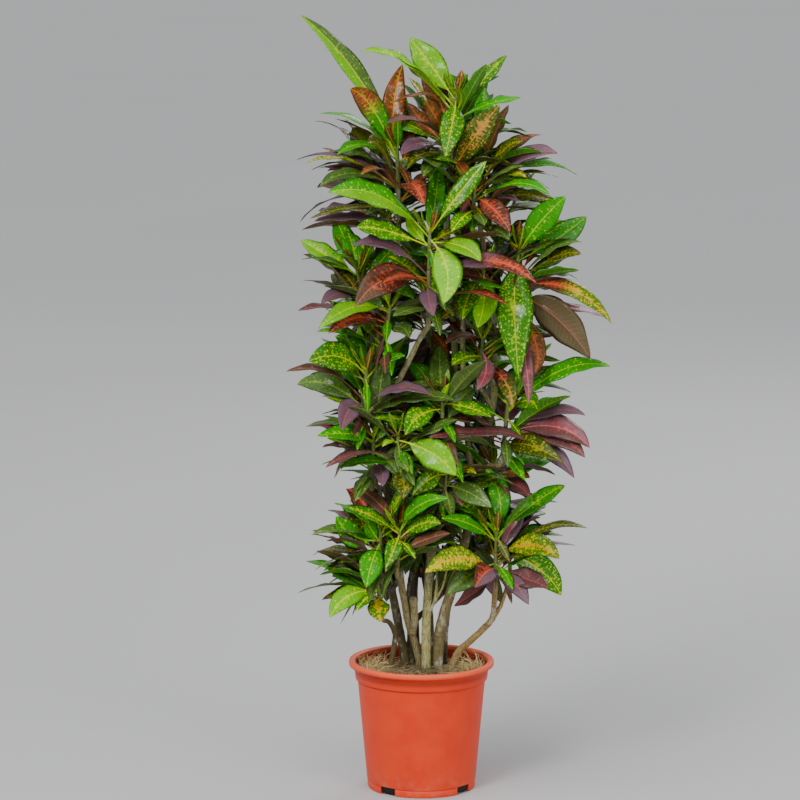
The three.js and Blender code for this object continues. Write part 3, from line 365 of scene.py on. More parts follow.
def draws(seed):
    """The same even draws from 0 to 1 as the part's own rule makes."""
    all_bits = 0xFFFFFFFF
    state = seed & all_bits
    while True:
        state = (state + 0x6D2B79F5) & all_bits
        t = ((state ^ (state >> 15)) * (state | 1)) & all_bits
        t ^= (t + (((t ^ (t >> 7)) * (t | 61)) & all_bits)) & all_bits
        yield ((t ^ (t >> 14)) & all_bits) / (all_bits + 1)


def heading(azimuth, lift):
    """The direction at an angle round the upright axis and above the level, in radians."""
    level = math.cos(lift)
    return Vector((math.cos(azimuth) * level, math.sin(azimuth) * level, math.sin(lift)))


def rolled_face(azimuth, roll):
    """The upward side of a level leaf that is rolled about its length."""
    return Vector((-math.sin(azimuth) * math.sin(roll), math.cos(azimuth) * math.sin(roll), math.cos(roll)))


def leaf_curve(leaf, at):
    """The point on a leaf's midrib and the directions to its side and above its face."""
    control = leaf.middle * 2 - (leaf.root + leaf.tip) / 2
    point = leaf.root * (1 - at) ** 2 + control * 2 * at * (1 - at) + leaf.tip * at ** 2
    along = ((control - leaf.root) * (1 - at) + (leaf.tip - control) * at).normalized()
    across = (leaf.tip - leaf.root).cross(leaf.face)
    side = (across - along * across.dot(along)).normalized()
    return point, side, side.cross(along)


def placed_choices(shoot, entry, reach_range):
    """Where a listed leaf may be, in the order in which the part's rule tried it."""
    kind, tip_x, tip_z, mid_x, mid_z, base_z, width, turn, reach = entry
    foot_z, crown_z = shoot["heights"]
    share = min(max((base_z - foot_z) / (crown_z - foot_z), reach_range[0]), reach_range[1])
    root = shoot["foot"].lerp(shoot["crown"], share)
    root_x, root_z = as_seen(root)
    seen = math.hypot(tip_x - root_x, tip_z - root_z)
    depth = math.copysign(math.sqrt(max(reach ** 2 - seen ** 2, 0)), reach)
    for turn_shift, shift in product(TURN_SHIFTS, SIGHT_SHIFTS):
        tip_depth = root.y - depth + shift
        tip = along_sight(tip_x, tip_z, tip_depth)
        half_way = (root + tip) / 2
        bend = along_sight(mid_x, mid_z, (root.y + tip_depth) / 2) - half_way
        bend *= min(1, MOST_BEND * (tip - root).length / max(bend.length, 1e-6))
        angle = math.radians(turn + turn_shift)
        face = Vector((0, -math.sin(angle), math.cos(angle)))
        yield Leaf(root, tip, half_way + bend, face, width, kind, PLACED_SECTIONS, (tip_x, tip_z))


def ruled_choices(shoot, age, draw, index, count, reach_range):
    """The same for a leaf that is set round its shoot by rule."""
    share = between(reach_range, (index + 0.5) / count)
    root = shoot["foot"].lerp(shoot["crown"], share)
    start = GOLDEN_ANGLE * index + SPREAD["round"] * next(draw)
    azimuth = BACK_FROM + start % BACK_SPAN if shoot["leaves"] else start
    least, gain = RULED_LIFT[age]
    lift = least + gain * share + SPREAD["lift"] * (next(draw) - 0.5)
    length = RULED_LENGTH[age] + SPREAD["length"] * (next(draw) - 0.5)
    least, gain = RULED_WIDTH
    width = length * (least + gain * next(draw))
    roll = math.radians(SPREAD["roll"] * (next(draw) - 0.5))
    for lift_shift, round_shift in product(LIFT_SHIFTS, ROUND_SHIFTS):
        turn = math.radians(azimuth + round_shift)
        tip = root + heading(turn, math.radians(lift + lift_shift)) * length
        middle = root.lerp(tip, 0.5) + UP * RULED_BOW[age] * length
        yield Leaf(root, tip, middle, rolled_face(turn, roll), width, None, RULED_SECTIONS)


def grown_leaf(choices, corners):
    """The choice that the solid model holds, told by its corners, or None where it holds none of them."""
    best, most = None, 1
    for leaf in choices:
        if corners.find(leaf.tip * MM)[2] > SAME_PLACE:
            continue
        found = 0
        for (at, share), sign in product(leaf.sections, (-1, 1)):
            point, side, _ = leaf_curve(leaf, at)
            corner = point + side * (sign * leaf.width / 2 * share)
            found += corners.find(corner * MM)[2] <= SAME_PLACE
        if found > most:
            best, most = leaf, found
    return best


def shoot_nodes(name, shoot):
    """Each node of a shoot: its name, the ages of its leaves, where they root and its stretch of stem."""
    if shoot["whole"]:
        return [(f"shoot_{name}", ("young", "old"), ROOT_RANGE["whole"], (0, 1))]
    return [(f"shoot_{name}_young", ("young",), ROOT_RANGE["young"], (YOUNG_FROM, 1)),
            (f"shoot_{name}_old", ("old",), ROOT_RANGE["old"], (0, YOUNG_FROM))]


def corners_of(node):
    """The corners of a node of the solid model, to look near a point for one."""
    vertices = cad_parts[node].data.vertices
    tree = kdtree.KDTree(len(vertices))
    for vertex in vertices:
        tree.insert(vertex.co, vertex.index)
    tree.balance()
    return tree


def leaves_of_shoots():
    """Every leaf of the solid model, by node."""
    grown = {}
    for order, (name, shoot) in enumerate(SHOOTS.items()):
        nodes = shoot_nodes(name, shoot)
        trees = {node: corners_of(node) for node, _, _, _ in nodes}
        grown.update({node: [] for node in trees})

        def grow(age, choices, *rule):
            node, _, reach_range, _ = next(n for n in nodes if age in n[1])
            leaf = grown_leaf(choices(shoot, *rule, reach_range), trees[node])
            if leaf:
                grown[node].append((age, leaf))

        for entry in shoot["leaves"]:
            grow("young" if entry[0] in YOUNG_KINDS else "old", placed_choices, entry)
        draw = draws(FIRST_SEED + order)
        for age, count in zip(("young", "old"), shoot["fill"]):
            for k in range(count):
                grow(age, ruled_choices, age, draw, k, count)
    return grown


def ink(red, green, blue):
    """A colour given as it looks on a screen, from 0 to 255, in the light values that shaders use."""
    def light(value):
        share = value / 255
        return share / 12.92 if share <= 0.04045 else ((share + 0.055) / 1.055) ** 2.4
    return light(red), light(green), light(blue)


def read_colourings(text):
    return {name: (*(ink(*numbers(words)) for words in inks), *numbers(shares))
            for (name,), (*inks, shares), _ in read_table(text)}


# Leaf colourings: the blade's own colour, that of its flecks and that of its midrib, then how much of
# the blade the flecks cover, how far they run together into blotches, and how plain the side veins are.
COLOURINGS = read_colourings("""
lime: 98 164 0, 152 192 0, 180 200 4, 0.2 0.12 0.08;
green: 44 134 4, 142 190 0, 140 192 14, 0.2 0.05 0.1;
dust: 40 114 0, 150 180 0, 182 190 0, 0.55 0.18 0.1;
dark: 70 98 42, 116 150 26, 120 148 56, 0.22 0.05 0.15;
olive: 54 70 14, 126 126 10, 144 126 28, 0.36 0.22 0.2;
gold: 64 110 2, 184 172 0, 204 140 10, 0.6 0.42 0.22;
coral: 74 42 28, 164 56 40, 190 98 58, 0.3 0.5 0.35;
bronze: 88 60 28, 138 72 34, 180 104 52, 0.3 0.46 0.3;
flush: 98 58 18, 172 66 30, 158 156 34, 0.3 0.46 0.25;
purple: 98 74 86, 112 62 68, 134 88 90, 0.2 0.3 0.22;
maroon: 84 56 54, 116 54 54, 140 80 74, 0.25 0.42 0.2;
brown: 84 64 46, 102 60 42, 160 100 78, 0.2 0.4 0.22;
pink: 112 74 80, 138 54 62, 172 108 108, 0.2 0.48 0.2;
mottle: 58 88 22, 178 126 62, 206 150 36, 0.5 0.36 0.35;
""")
RULED_KINDS = {
    "young": ("lime", "dust", "green", "green", "dust", "gold"),
    "old": ("dark", "purple", "olive", "green", "maroon", "dust", "bronze", "dark", "coral", "green",
            "mottle"),
}
UNDERSIDE = ink(84, 86, 52)

# Leaves set by rule that show at the front, with their colouring: by node and place in it.
SEEN_COLOURINGS = {
    "crown_left_young": {6: "bronze"},
    "crown_middle_young": {7: "green", 8: "lime"},
    "crown_middle_old": {11: "maroon"},
    "crown_right_young": {1: "bronze", 2: "green"},
    "right_young": {3: "green"},
    "right_old": {9: "gold"},
    "mid_left_young": {3: "olive", 4: "green"},
    "mid_left_old": {4: "dark"},
    "mid_low_left_young": {2: "dark"},
    "mid_middle_young": {4: "dark"},
    "mid_middle_old": {3: "maroon", 4: "purple"},
    "mid_right_inner": {5: "bronze"},
    "low_left_young": {5: "dust"},
    "back_mid_left_young": {4: "green"},
}

# Leaves with a second colouring on part of their blade, by their tip: [kind, side or end it covers].
SECOND_COLOURINGS = {
    (-184, 1191): ("dark", "right"), (-142, 922): ("lime", "left"), (175, 783): ("purple", "root"),
    (-101, 748): ("brown", "tip"), (289, 722): ("coral", "root"), (277, 731): ("maroon", "root"),
    (257, 530): ("maroon", "right"), (158, 447): ("purple", "right"), (-109, 1079): ("green", "root"),
    (-116, 467): ("maroon", "root"), (82, 312): ("purple", "left"), (138, 590): ("coral", "root"),
}

# Where a second colouring ends: across the blade from the midrib, and along it from root to tip.
SIDE_FADE, ROOT_FADE, TIP_FADE = (-0.1, 0.2), (0.35, 0.65), (0.55, 0.8)
# How dark or light a whole leaf may be.
LEAF_SHADES = (0.82, 1.16)

# How a blade folds, curls, waves and twists: each leaf draws its own values from these ranges.
LEAF_HABIT = {
    "fold": (4, 20), "curl": (0.1, 0.32), "wave": (0.02, 0.075), "waves": (2.2, 4.2),
    "right": (0, math.tau), "left": (0, math.tau), "twist": (-16, 16), "seed": (0, 1),
}
# A leaf's closed skin: columns from edge to edge on both faces, and rows from root to tip.
FINE_LEAF = (10, 26)
SMALL_LEAF = (8, 18)
COLUMN_POWER = 1.4
BLADE_THICK = 0.5
# The midrib's keel under the blade: how deep, how wide, and the power by which it dies out to the tip.
KEEL_DEEP, KEEL_HALF, KEEL_POWER = 1.1, 1.3, 0.6
# A stalk's half width at its foot and at the blade, and how far its top and underside are rounded.
STALK_HALF, STALK_TOP, STALK_UNDER = (1.15, 1.35), 0.8, 1.2
# The blade's outline: how far its widest place is moved, how full it is, and its width there and at the tip.
BLADE_SKEW, BLADE_FULL, BLADE_WIDE, BLADE_TAPER = 0.97, 0.74, 1.09, 0.34
# How waves grow towards the edge, and how the fold flattens there.
WAVE_POWER, CURL_GAIN, CURL_POWER = 2.5, 2.2, 1.5
# The stalk turns into the blade between these places along the midrib.
STALK_FADE = (0.13, 0.22)


def smooth_step(low, high, value):
    share = min(max((value - low) / (high - low), 0), 1)
    return share * share * (3 - 2 * share)


def leaf_pattern(columns, rows):
    """A flat closed leaf whose corners say where they are: x across, y along, z above or below."""
    bm = bmesh.new()
    bmesh.ops.create_grid(bm, x_segments=columns, y_segments=rows, size=1)
    back = bmesh.ops.duplicate(bm, geom=bm.faces[:])
    bmesh.ops.reverse_faces(bm, faces=[f for f in back["geom"] if isinstance(f, bmesh.types.BMFace)])
    under = {v for v in back["geom"] if isinstance(v, bmesh.types.BMVert)}
    for v in bm.verts:
        if max(abs(v.co.x), abs(v.co.y)) < 0.999:
            v.co.z = -1 if v in under else 1
    bmesh.ops.remove_doubles(bm, verts=bm.verts[:], dist=1e-4)
    tip = [v for v in bm.verts if v.co.y > 0.999]
    bmesh.ops.pointmerge(bm, verts=tip, merge_co=Vector((0, 1, 0)))
    for v in bm.verts:
        v.co.y = (v.co.y + 1) / 2
    return mesh_of("leaf_pattern", bm)


def blade_share(at):
    """Half the blade's width at a place along the midrib, as a share of the widest."""
    s = min(max((at - STALK_END) / (1 - STALK_END), 0), 1)
    return math.sin(math.pi * s ** BLADE_SKEW) ** BLADE_FULL * (BLADE_WIDE - BLADE_TAPER * s * s)


def leaf_point(leaf, habit, across, at, level):
    """Where a corner of the flat pattern lies on the grown leaf, and its distance from the midrib."""
    point, side, above = leaf_curve(leaf, at)
    blade = smooth_step(*STALK_FADE, at)
    stalk_half = between(STALK_HALF, at / STALK_END)
    half = stalk_half * (1 - blade) + blade * max(leaf.width / 2 * blade_share(at), 0)
    out = math.copysign(abs(across) ** COLUMN_POWER, across)
    spread = half * out
    phase = math.tau * habit["waves"] * at + habit["right" if across > 0 else "left"]
    wave = habit["wave"] * leaf.width * abs(out) ** WAVE_POWER * math.sin(phase)
    flat = 1 - habit["curl"] * CURL_GAIN * abs(out) ** CURL_POWER
    fold = math.tan(math.radians(habit["fold"])) * abs(spread) * flat
    rise = blade * (wave * math.sin(math.pi * min(at, 1)) + fold)
    rise += blade * math.tan(math.radians(habit["twist"]) * (at - 0.5) * 2) * spread
    round_half = stalk_half * math.sqrt(max(1 - across * across, 0))
    keel = KEEL_DEEP * math.exp(-(spread / KEEL_HALF) ** 2) * (1 - at) ** KEEL_POWER
    if level > 0:
        rise += (1 - blade) * round_half * STALK_TOP + blade * BLADE_THICK / 2
    elif level < 0:
        rise -= (1 - blade) * round_half * STALK_UNDER + blade * (BLADE_THICK / 2 + keel)
    return point + side * spread + above * rise, spread


def inside_box(point):
    return Vector([min(max(c, low), high) for c, low, high in zip(point, *CAD_BOX)])


def second_share(place, across, at):
    """How much of a leaf's second colouring shows at a place on its blade."""
    if place == "root":
        return 1 - smooth_step(*ROOT_FADE, at)
    if place == "tip":
        return smooth_step(*TIP_FADE, at)
    return smooth_step(*SIDE_FADE, across if place == "right" else -across)


LEAF_MARKS = ("leaf_place", "leaf_spread", "leaf_habit")
LEAF_INKS = ("leaf_ground", "leaf_fleck", "leaf_rib")


def leaf_layers(bm):
    layers = {name: bm.verts.layers.float_vector.new(name) for name in LEAF_MARKS}
    return layers | {name: bm.verts.layers.float_color.new(name) for name in LEAF_INKS}


def add_leaf(bm, layers, pattern, leaf, kind, rng):
    """One leaf's skin, with its colouring and the place of every corner written beside it."""
    habit = {name: rng.uniform(*span) for name, span in LEAF_HABIT.items()}
    length = (leaf.middle - leaf.root).length + (leaf.tip - leaf.middle).length
    first = COLOURINGS[kind]
    second, place = SECOND_COLOURINGS.get(leaf.mark, (kind, "tip"))
    other = COLOURINGS[second]
    shade = rng.uniform(*LEAF_SHADES)
    for v in stamped(bm, pattern):
        across, at, level = v.co
        spot, spread = leaf_point(leaf, habit, across, at, level)
        share = second_share(place, across, at) if second != kind else 0
        v.co = inside_box(spot * MM)
        v[layers["leaf_place"]] = (across, at, habit["seed"])
        v[layers["leaf_spread"]] = (spread, at * length, -level)
        v[layers["leaf_habit"]] = blend(first[3:], other[3:], share)
        for name, one, two in zip(LEAF_INKS, first, other):
            v[layers[name]] = [c * shade for c in blend(one, two, share)] + [1]


def tube_pattern(name, sides, rings):
    """A closed upright tube of unit radius whose height, from 0 to 1, is cut into rings."""
    bm = bmesh.new()
    bmesh.ops.create_cone(bm, cap_ends=True, cap_tris=False, segments=sides, radius1=1, radius2=1, depth=1)
    upright = [e for e in bm.edges if abs(e.verts[0].co.z - e.verts[1].co.z) > 0.5]
    bmesh.ops.subdivide_edges(bm, edges=upright, cuts=rings - 1, use_grid_fill=True)
    bmesh.ops.translate(bm, verts=bm.verts[:], vec=(0, 0, 0.5))
    return mesh_of(name, bm)


def second_material(bm, first_face):
    """Gives the faces from the first one on the piece's second material."""
    bm.faces.ensure_lookup_table()
    for face in bm.faces[first_face:]:
        face.material_index = 1


def finished_piece(name, bm, materials, slot, *nodes):
    """Makes a piece of a bmesh: named, shaded, riding on the pot's body, and standing for its CAD nodes."""
    piece = put(name, mesh_of(name, bm))
    piece.data.shade_smooth()
    for material in materials:
        piece.data.materials.append(material)
    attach(piece, "root")
    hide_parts(*nodes)
    return piece


SPLINE_STEPS = 10
# The knots between which each pass over a stretch's corners blends.
SPLINE_SPANS = (((0, 1), (1, 2), (2, 3)), ((0, 2), (1, 3)), ((1, 2),))
# The heights at which stems turn from their upright feet and at which those end in the mix.
STEM_FOOT_TOP, STEM_BURIED = 193, 176
# A branch meets its shoot in line with it, this far off, and ends short of it by the clearance.
SHOOT_LEAD, CLEARANCE = 14, 0.35
RING_STEP, BARK_SIDES = 5, 14


def curve_through(points):
    """A smooth curve through points, with the pace of a centripetal spline, as closely spaced points."""
    padded = [points[0] * 2 - points[1], *points, points[-1] * 2 - points[-2]]
    fine = []
    for corners in zip(padded, padded[1:], padded[2:], padded[3:]):
        knots = [0]
        for a, b in zip(corners, corners[1:]):
            knots.append(knots[-1] + max((b - a).length ** 0.5, 1e-4))
        for step in range(SPLINE_STEPS):
            t, row = between(knots[1:], step / SPLINE_STEPS), corners
            for spans in SPLINE_SPANS:
                row = [(a * (knots[j] - t) + b * (t - knots[i])) / (knots[j] - knots[i])
                       for a, b, (i, j) in zip(row, row[1:], spans)]
            fine.append(row[0])
    return [*fine, points[-1]]


def even_stations(points, radii, step=RING_STEP):
    """Points at an even step along a fine polyline, each with its radius and its direction."""
    lengths = [0]
    for a, b in zip(points, points[1:]):
        lengths.append(lengths[-1] + (b - a).length)
    count = max(3, round(lengths[-1] / step))
    stations, k = [], 0
    for i in range(count + 1):
        goal = lengths[-1] * i / count
        while k + 2 < len(points) and lengths[k + 1] < goal:
            k += 1
        share = (goal - lengths[k]) / max(lengths[k + 1] - lengths[k], 1e-6)
        point = points[k].lerp(points[k + 1], min(share, 1))
        stations.append((point, between(radii, i / count), (points[k + 1] - points[k]).normalized()))
    return stations


def branch_stations(goal, radii, points, start=None):
    points = [along_sight(*point) for point in points]
    if start:
        points.insert(0, start)
    if goal in SHOOTS:
        foot, crown = SHOOTS[goal]["foot"], SHOOTS[goal]["crown"]
        ahead = (crown - foot).normalized()
        points += [foot - ahead * SHOOT_LEAD, foot - ahead * CLEARANCE]
    return even_stations(curve_through(points), radii)


def add_tube(bm, patterns, stations, sides, relief, mark):
    """A tube along stations. relief gives how far a corner stands out, and mark writes beside it."""
    rings = len(stations) - 1
    if (sides, rings) not in patterns:
        patterns[sides, rings] = tube_pattern(f"tube_{sides}_{rings}", sides, rings)
    frames, across = [], Vector((1, 0, 0))
    for _, _, ahead in stations:
        across = (across - ahead * across.dot(ahead)).normalized()
        frames.append((across, ahead.cross(across)))
    for v in stamped(bm, patterns[sides, rings]):
        ring = min(round(v.co.z * rings), rings)
        point, radius, _ = stations[ring]
        one, two = frames[ring]
        angle = math.atan2(v.co.y, v.co.x)
        out = one * math.cos(angle) + two * math.sin(angle)
        mark(v, ring / rings, angle)
        v.co = (point + out * (radius + relief(point + out * radius, ring / rings, angle))) * MM


# Bark colours by stem: dry bark below and the greener skin towards the shoots. The dry bark of the
# # thin left, left and right stems is set darker, in part as painted shade under the crown.
BARKS = {
    "stem_left_thin": (ink(100, 88, 50), ink(126, 124, 70)),
    "stem_left": (ink(98, 90, 52), ink(132, 126, 76)),
    "stem_front": (ink(146, 134, 84), ink(136, 130, 80)),
    "stem_middle": (ink(162, 156, 96), ink(132, 130, 76)),
    "stem_right": (ink(114, 100, 56), ink(140, 130, 80)),
    "stem_far_right": (ink(158, 130, 74), ink(138, 122, 76)),
    "stem_back": (ink(92, 82, 50), ink(126, 118, 74)),
}
SHOOT_SKIN = (ink(98, 90, 52), ink(88, 108, 36))
# The bark's relief: scars round the stem, lumps and grain. Scales are per millimetre.
NODE_PITCH, SCAR_DEPTH, SCAR_POWER, SCAR_WANDER = 17, 0.55, 5, 0.02
LUMP_SCALE, LUMP_HEIGHT = 0.09, 0.5
GRAIN_SCALE, GRAIN_HEIGHT = 0.45, 0.22
# The heights between which the bark turns green.
GREEN_FROM, GREEN_TO = 300, 620
# A stem that leans away from its very foot turns lower than the others.
LOW_TURN = {"stem_far_right": 178}
# The sawn end of the short stub, and how its edge is worn round.
CUT_WOOD, CUT_ROUND, CUT_EDGE = (*ink(178, 160, 118), 1), 1.6, 0.72
# How much thicker a side branch is where it leaves the stem, as a share of its radius.
COLLAR = 0.35


def bark_relief(seed, pitch=NODE_PITCH, depth=SCAR_DEPTH):
    """Lumps, and the rings and scars where leaves once sat, of a stem whose heights are in millimetres."""
    def relief(point, share, angle):
        drawn_out = Vector((point.x, point.y, point.z * 0.5))
        lump = noise.noise(drawn_out * LUMP_SCALE + Vector((seed, 0, 0))) * LUMP_HEIGHT
        fine = noise.noise(point * GRAIN_SCALE + Vector((0, seed, 0))) * GRAIN_HEIGHT
        turn = noise.noise(Vector((seed, point.z * SCAR_WANDER, 1))) * 2
        ring = math.cos(math.tau * (point.z / pitch + turn))
        return lump + fine + depth * max(ring, 0) ** SCAR_POWER
    return relief


def skin_mark(layer, low, high, green_share, cut=False):
    def mark(v, share, angle):
        v[layer] = CUT_WOOD if cut and share == 1 else blend(low, high, green_share(share)) + [1]
    return mark


def make_stems(material):
    patterns = {}
    for number, (name, branches) in enumerate(STEMS.items()):
        bm = bmesh.new()
        layer = bm.verts.layers.float_color.new("bark_ground")
        low, high = BARKS[name]
        for i, (goal, radii, (foot, *points)) in enumerate(branches):
            rises = len(foot) == 2
            if rises:
                start = Vector((*foot, LOW_TURN.get(name, STEM_FOOT_TOP)))
                stations = branch_stations(goal, radii, points, start)
                stations.insert(0, (Vector((*foot, STEM_BURIED)), radii[0], UP))
            else:
                stations = branch_stations(goal, radii, [foot, *points])
                collar = radii[0] * COLLAR
                stations = [(p, r + collar * max(1 - k / 3, 0), d) for k, (p, r, d) in enumerate(stations)]
            cut = goal == "end" and not rises
            if cut:
                point, radius, ahead = stations[-1]
                stations.append((point + ahead * CUT_ROUND, radius * CUT_EDGE, ahead))
            heights = stations[0][0].z, stations[-1][0].z

            def green_share(share):
                return smooth_step(GREEN_FROM, GREEN_TO, between(heights, share))

            mark = skin_mark(layer, low, high, green_share, cut)
            add_tube(bm, patterns, stations, BARK_SIDES, bark_relief(number * 7 + i), mark)
        finished_piece(f"bark_{name}", bm, [material], "bark", name)


BUD_LEAVES = 5
BUD_KINDS = ("lime", "flush", "lime", "dust", "flush")
# The least and the greatest length, and the width and bow as shares of it.
BUD_LENGTHS, BUD_WIDTH, BUD_BOW = (28.6, 52), 0.27, 0.08
# How a bud leaf stands: how far it is sunk in the tip and turned at random, and how much it rises and
# spreads, each further than the last.
BUD_SUNK, BUD_TURN, BUD_RISE, BUD_SPREAD, BUD_SPREAD_GAIN = 3, 60, 0.9, 0.2, 0.14


def bud_leaves(shoot, rng):
    """The small folded leaves that stand at a shoot's growing tip."""
    crown = shoot["crown"]
    ahead = (crown - shoot["foot"]).normalized()
    for k in range(BUD_LEAVES):
        azimuth = math.radians(GOLDEN_ANGLE * k + rng.uniform(0, BUD_TURN))
        out = heading(azimuth, 0)
        length = between(BUD_LENGTHS, (k + 1) / BUD_LEAVES)
        root = crown - ahead * BUD_SUNK
        tip = root + (ahead * BUD_RISE + out * (BUD_SPREAD + BUD_SPREAD_GAIN * k)).normalized() * length
        middle = root.lerp(tip, 0.5) + out * length * BUD_BOW
        yield Leaf(root, tip, middle, ahead * 0.4 - out, length * BUD_WIDTH)


# Further leaves for a close crown, where the front stays as placed: [how many by age, azimuth, lift,
# length, share of the shoot]. The first stand at the back and sides, the second hang over the shoot's
# own stem, and the others hang behind the woody stems from the low shoots.
INNER = {
    "inner": ({"young": 4, "old": 10}, (-28, 208), (-4, 40), (84, 132), (0, 1)),
    "cover": ({"young": 1, "old": 3}, (-140, -40), (-62, -25), (44, 70), (0, 0.8)),
    "hanging": ({"young": 0, "old": 9}, (10, 170), (-62, -8), (90, 125), (0, 0.4)),
    "skirt": ({"young": 0, "old": 12}, (-170, -10), (-80, -44), (66, 100), (-0.4, 0.15)),
}
HANGING_FROM = {
    "hanging": ("back_low", "back_low_right", "low_left", "low_middle", "low_front", "low_right_inner",
                "back_middle", "back_mid_left"),
    "skirt": ("back_low", "back_middle"),
}
HANGING_KINDS = ("dark", "brown", "purple", "dark", "olive")
# Low on the plant the orange and red leaves give way to quieter ones.
QUIET_BELOW = 640
QUIET_KINDS = {"bronze": "dark", "coral": "maroon", "mottle": "olive", "flush": "green"}


def settled(kind, root):
    return QUIET_KINDS.get(kind, kind) if root.z < QUIET_BELOW else kind


# Widths and bows as shares of the length, the roll in degrees, and how often a place is tried.
INNER_WIDTH, INNER_BOW = (0.27, 0.36), (0.05, 0.14)
INNER_ROLL, INNER_TRIES = 28, 6
HIGHEST_ROOT = 0.97
INNER_KINDS = {
    "young": ("green", "dark", "dust", "bronze", "olive", "green"),
    "old": ("dark", "purple", "olive", "green", "brown", "dark", "maroon", "dust", "dark", "bronze",
            "green"),
}
BOX_MARGIN = 4
# Where bare stems show between the leaves as seen from the front: [x from, to, z from, to], and how far
# back a leaf may hang there.
BARE_STEMS = ((-45, 14, 662, 760), (72, 126, 492, 668), (-88, -54, 446, 530), (-52, 70, 190, 312),
              (-95, -52, 190, 280), (30, 72, 338, 375), (-42, 24, 312, 352))
BARE_FROM = 42
# The place along a leaf that is tried there beside its tip.
BARE_ALONG = 0.6


def hides_stems(point):
    x, z = as_seen(point)
    return point.y < BARE_FROM and any(a < x < b and c < z < d for a, b, c, d in BARE_STEMS)


def in_box(point):
    return all(low / MM + BOX_MARGIN <= c <= high / MM - BOX_MARGIN
               for c, low, high in zip(point, *CAD_BOX))


def inner_leaves(name, shoot, age, reach_range, rng):
    """The further leaves of a shoot's node. One is left out if no place in the box is found for it."""
    foot, crown = shoot["foot"], shoot["crown"]
    for group, (counts, arc, lifts, lengths, stretch) in INNER.items():
        if name not in HANGING_FROM.get(group, (name,)):
            continue
        kinds = HANGING_KINDS if group in HANGING_FROM else INNER_KINDS[age]
        roots = [between(reach_range, end) for end in stretch]
        for k in range(counts[age]):
            share = between(roots, (k + rng.random()) / counts[age])
            root = foot.lerp(crown, min(share, HIGHEST_ROOT))
            span = arc[1] - arc[0]
            for _ in range(INNER_TRIES):
                azimuth = math.radians(arc[0] + (GOLDEN_ANGLE * k + rng.uniform(0, span)) % span)
                lift, length = math.radians(rng.uniform(*lifts)), rng.uniform(*lengths)
                tip = root + heading(azimuth, lift) * length
                if in_box(tip) and not hides_stems(tip) and not hides_stems(root.lerp(tip, BARE_ALONG)):
                    break
            else:
                continue
            roll = math.radians(rng.uniform(-INNER_ROLL, INNER_ROLL))
            kind = settled(rng.choice(kinds), root)
            middle = root.lerp(tip, 0.5) + UP * rng.uniform(*INNER_BOW) * length
            width = length * rng.uniform(*INNER_WIDTH)
            yield Leaf(root, tip, middle, rolled_face(azimuth, roll), width, kind)


# A shoot's own stem: its radius at the foot, where it turns young and at the crown, and its scars.
SHOOT_RADII = (3.8, 3.4, 2.6)
SHOOT_SIDES, SHOOT_STEP = 10, 4
SHOOT_SCARS = (9, 0.4)


def shoot_radius(share):
    low, mid, top = SHOOT_RADII
    if share < YOUNG_FROM:
        return between((low, mid), share / YOUNG_FROM)
    return between((mid, top), (share - YOUNG_FROM) / (1 - YOUNG_FROM))


def make_shoots(*materials):
    """Each node's leaves and stretch of green stem. A group's leaves are all drawn before any is built."""
    fine_form, small_form = leaf_pattern(*FINE_LEAF), leaf_pattern(*SMALL_LEAF)
    patterns, grown = {}, leaves_of_shoots()
    for order, (name, shoot) in enumerate(SHOOTS.items()):
        rng = random.Random(FIRST_SEED + order)
        for node, ages, reach_range, (low, high) in shoot_nodes(name, shoot):
            bm = bmesh.new()
            layers = leaf_layers(bm)
            bark = bm.verts.layers.float_color.new("bark_ground")
            for k, (age, leaf) in enumerate(grown[node]):
                kinds = RULED_KINDS[age]
                seen = SEEN_COLOURINGS.get(node.removeprefix("shoot_"), {}).get(k)
                drawn = kinds[(order * 3 + k + rng.randrange(2)) % len(kinds)]
                kind = leaf.kind or seen or settled(drawn, leaf.root)
                add_leaf(bm, layers, fine_form, leaf, kind, rng)
            for age in ages:
                for leaf in list(inner_leaves(name, shoot, age, reach_range, rng)):
                    add_leaf(bm, layers, small_form, leaf, leaf.kind, rng)
            if high == 1:
                for k, leaf in enumerate(list(bud_leaves(shoot, rng))):
                    add_leaf(bm, layers, small_form, leaf, BUD_KINDS[(order + k) % len(BUD_KINDS)], rng)
            first_face = len(bm.faces)
            ends = [shoot["foot"].lerp(shoot["crown"], share) for share in (low, high)]
            stations = even_stations(ends, [shoot_radius(low), shoot_radius(high)], SHOOT_STEP)
            mark = skin_mark(bark, *SHOOT_SKIN, lambda share: between((low, high), share))
            add_tube(bm, patterns, stations, SHOOT_SIDES, bark_relief(order, *SHOOT_SCARS), mark)
            second_material(bm, first_face)
            slot = "old_leaf" if ages == ("old",) else "young_leaf"
            finished_piece(node.replace("shoot_", "leaves_", 1), bm, materials, slot, node)


# The pot's profile in millimetres, from the foot's middle up the outside and down the inside: foot band,
# tapering wall, stepped collar and rolled lip. Each row is a corner [radius, height] and the points of
# its rounding, measured from there.
POT_FOOT = 83
POT_CORNERS = (
    ((0, 0), (0, 0)),
    ((POT_FOOT, 0), (-2.5, 0), (-0.7, 0.5), (0, 1.8)),
    ((POT_FOOT, 11), (0.4, -1.4), (0.1, -0.8), (-0.6, 0), (0.7, 1.1), (1, 2.2)),
    ((98.5, 171), (-0.1, -2.6), (-0.7, -1.9), (-0.8, -0.5)),
    ((101, 171), (0.2, -0.2), (0.9, 0.6), (1, 2)),
    ((104, 191), (-0.2, -1.2), (0.6, -0.2)),
    ((112, 191), (-1.4, 0.5), (-0.3, 1.4), (0, 2.8)),
    ((112, 200), (0, -2.6), (-0.5, -1.1), (-1.6, -0.2), (-2.8, 0)),
    ((105.5, 200), (1, 0), (-0.4, -0.4)),
    ((101.7, 200), (0.5, -1.6), (0, -3.4)),
    ((98.7, 171), (0, 2.5)),
    ((96.2, 171), (0, 0)),
    ((80.7, 2.5), (0, 0)),
    ((0, 2.5), (0, 0)),
)
POT_STEPS = 180
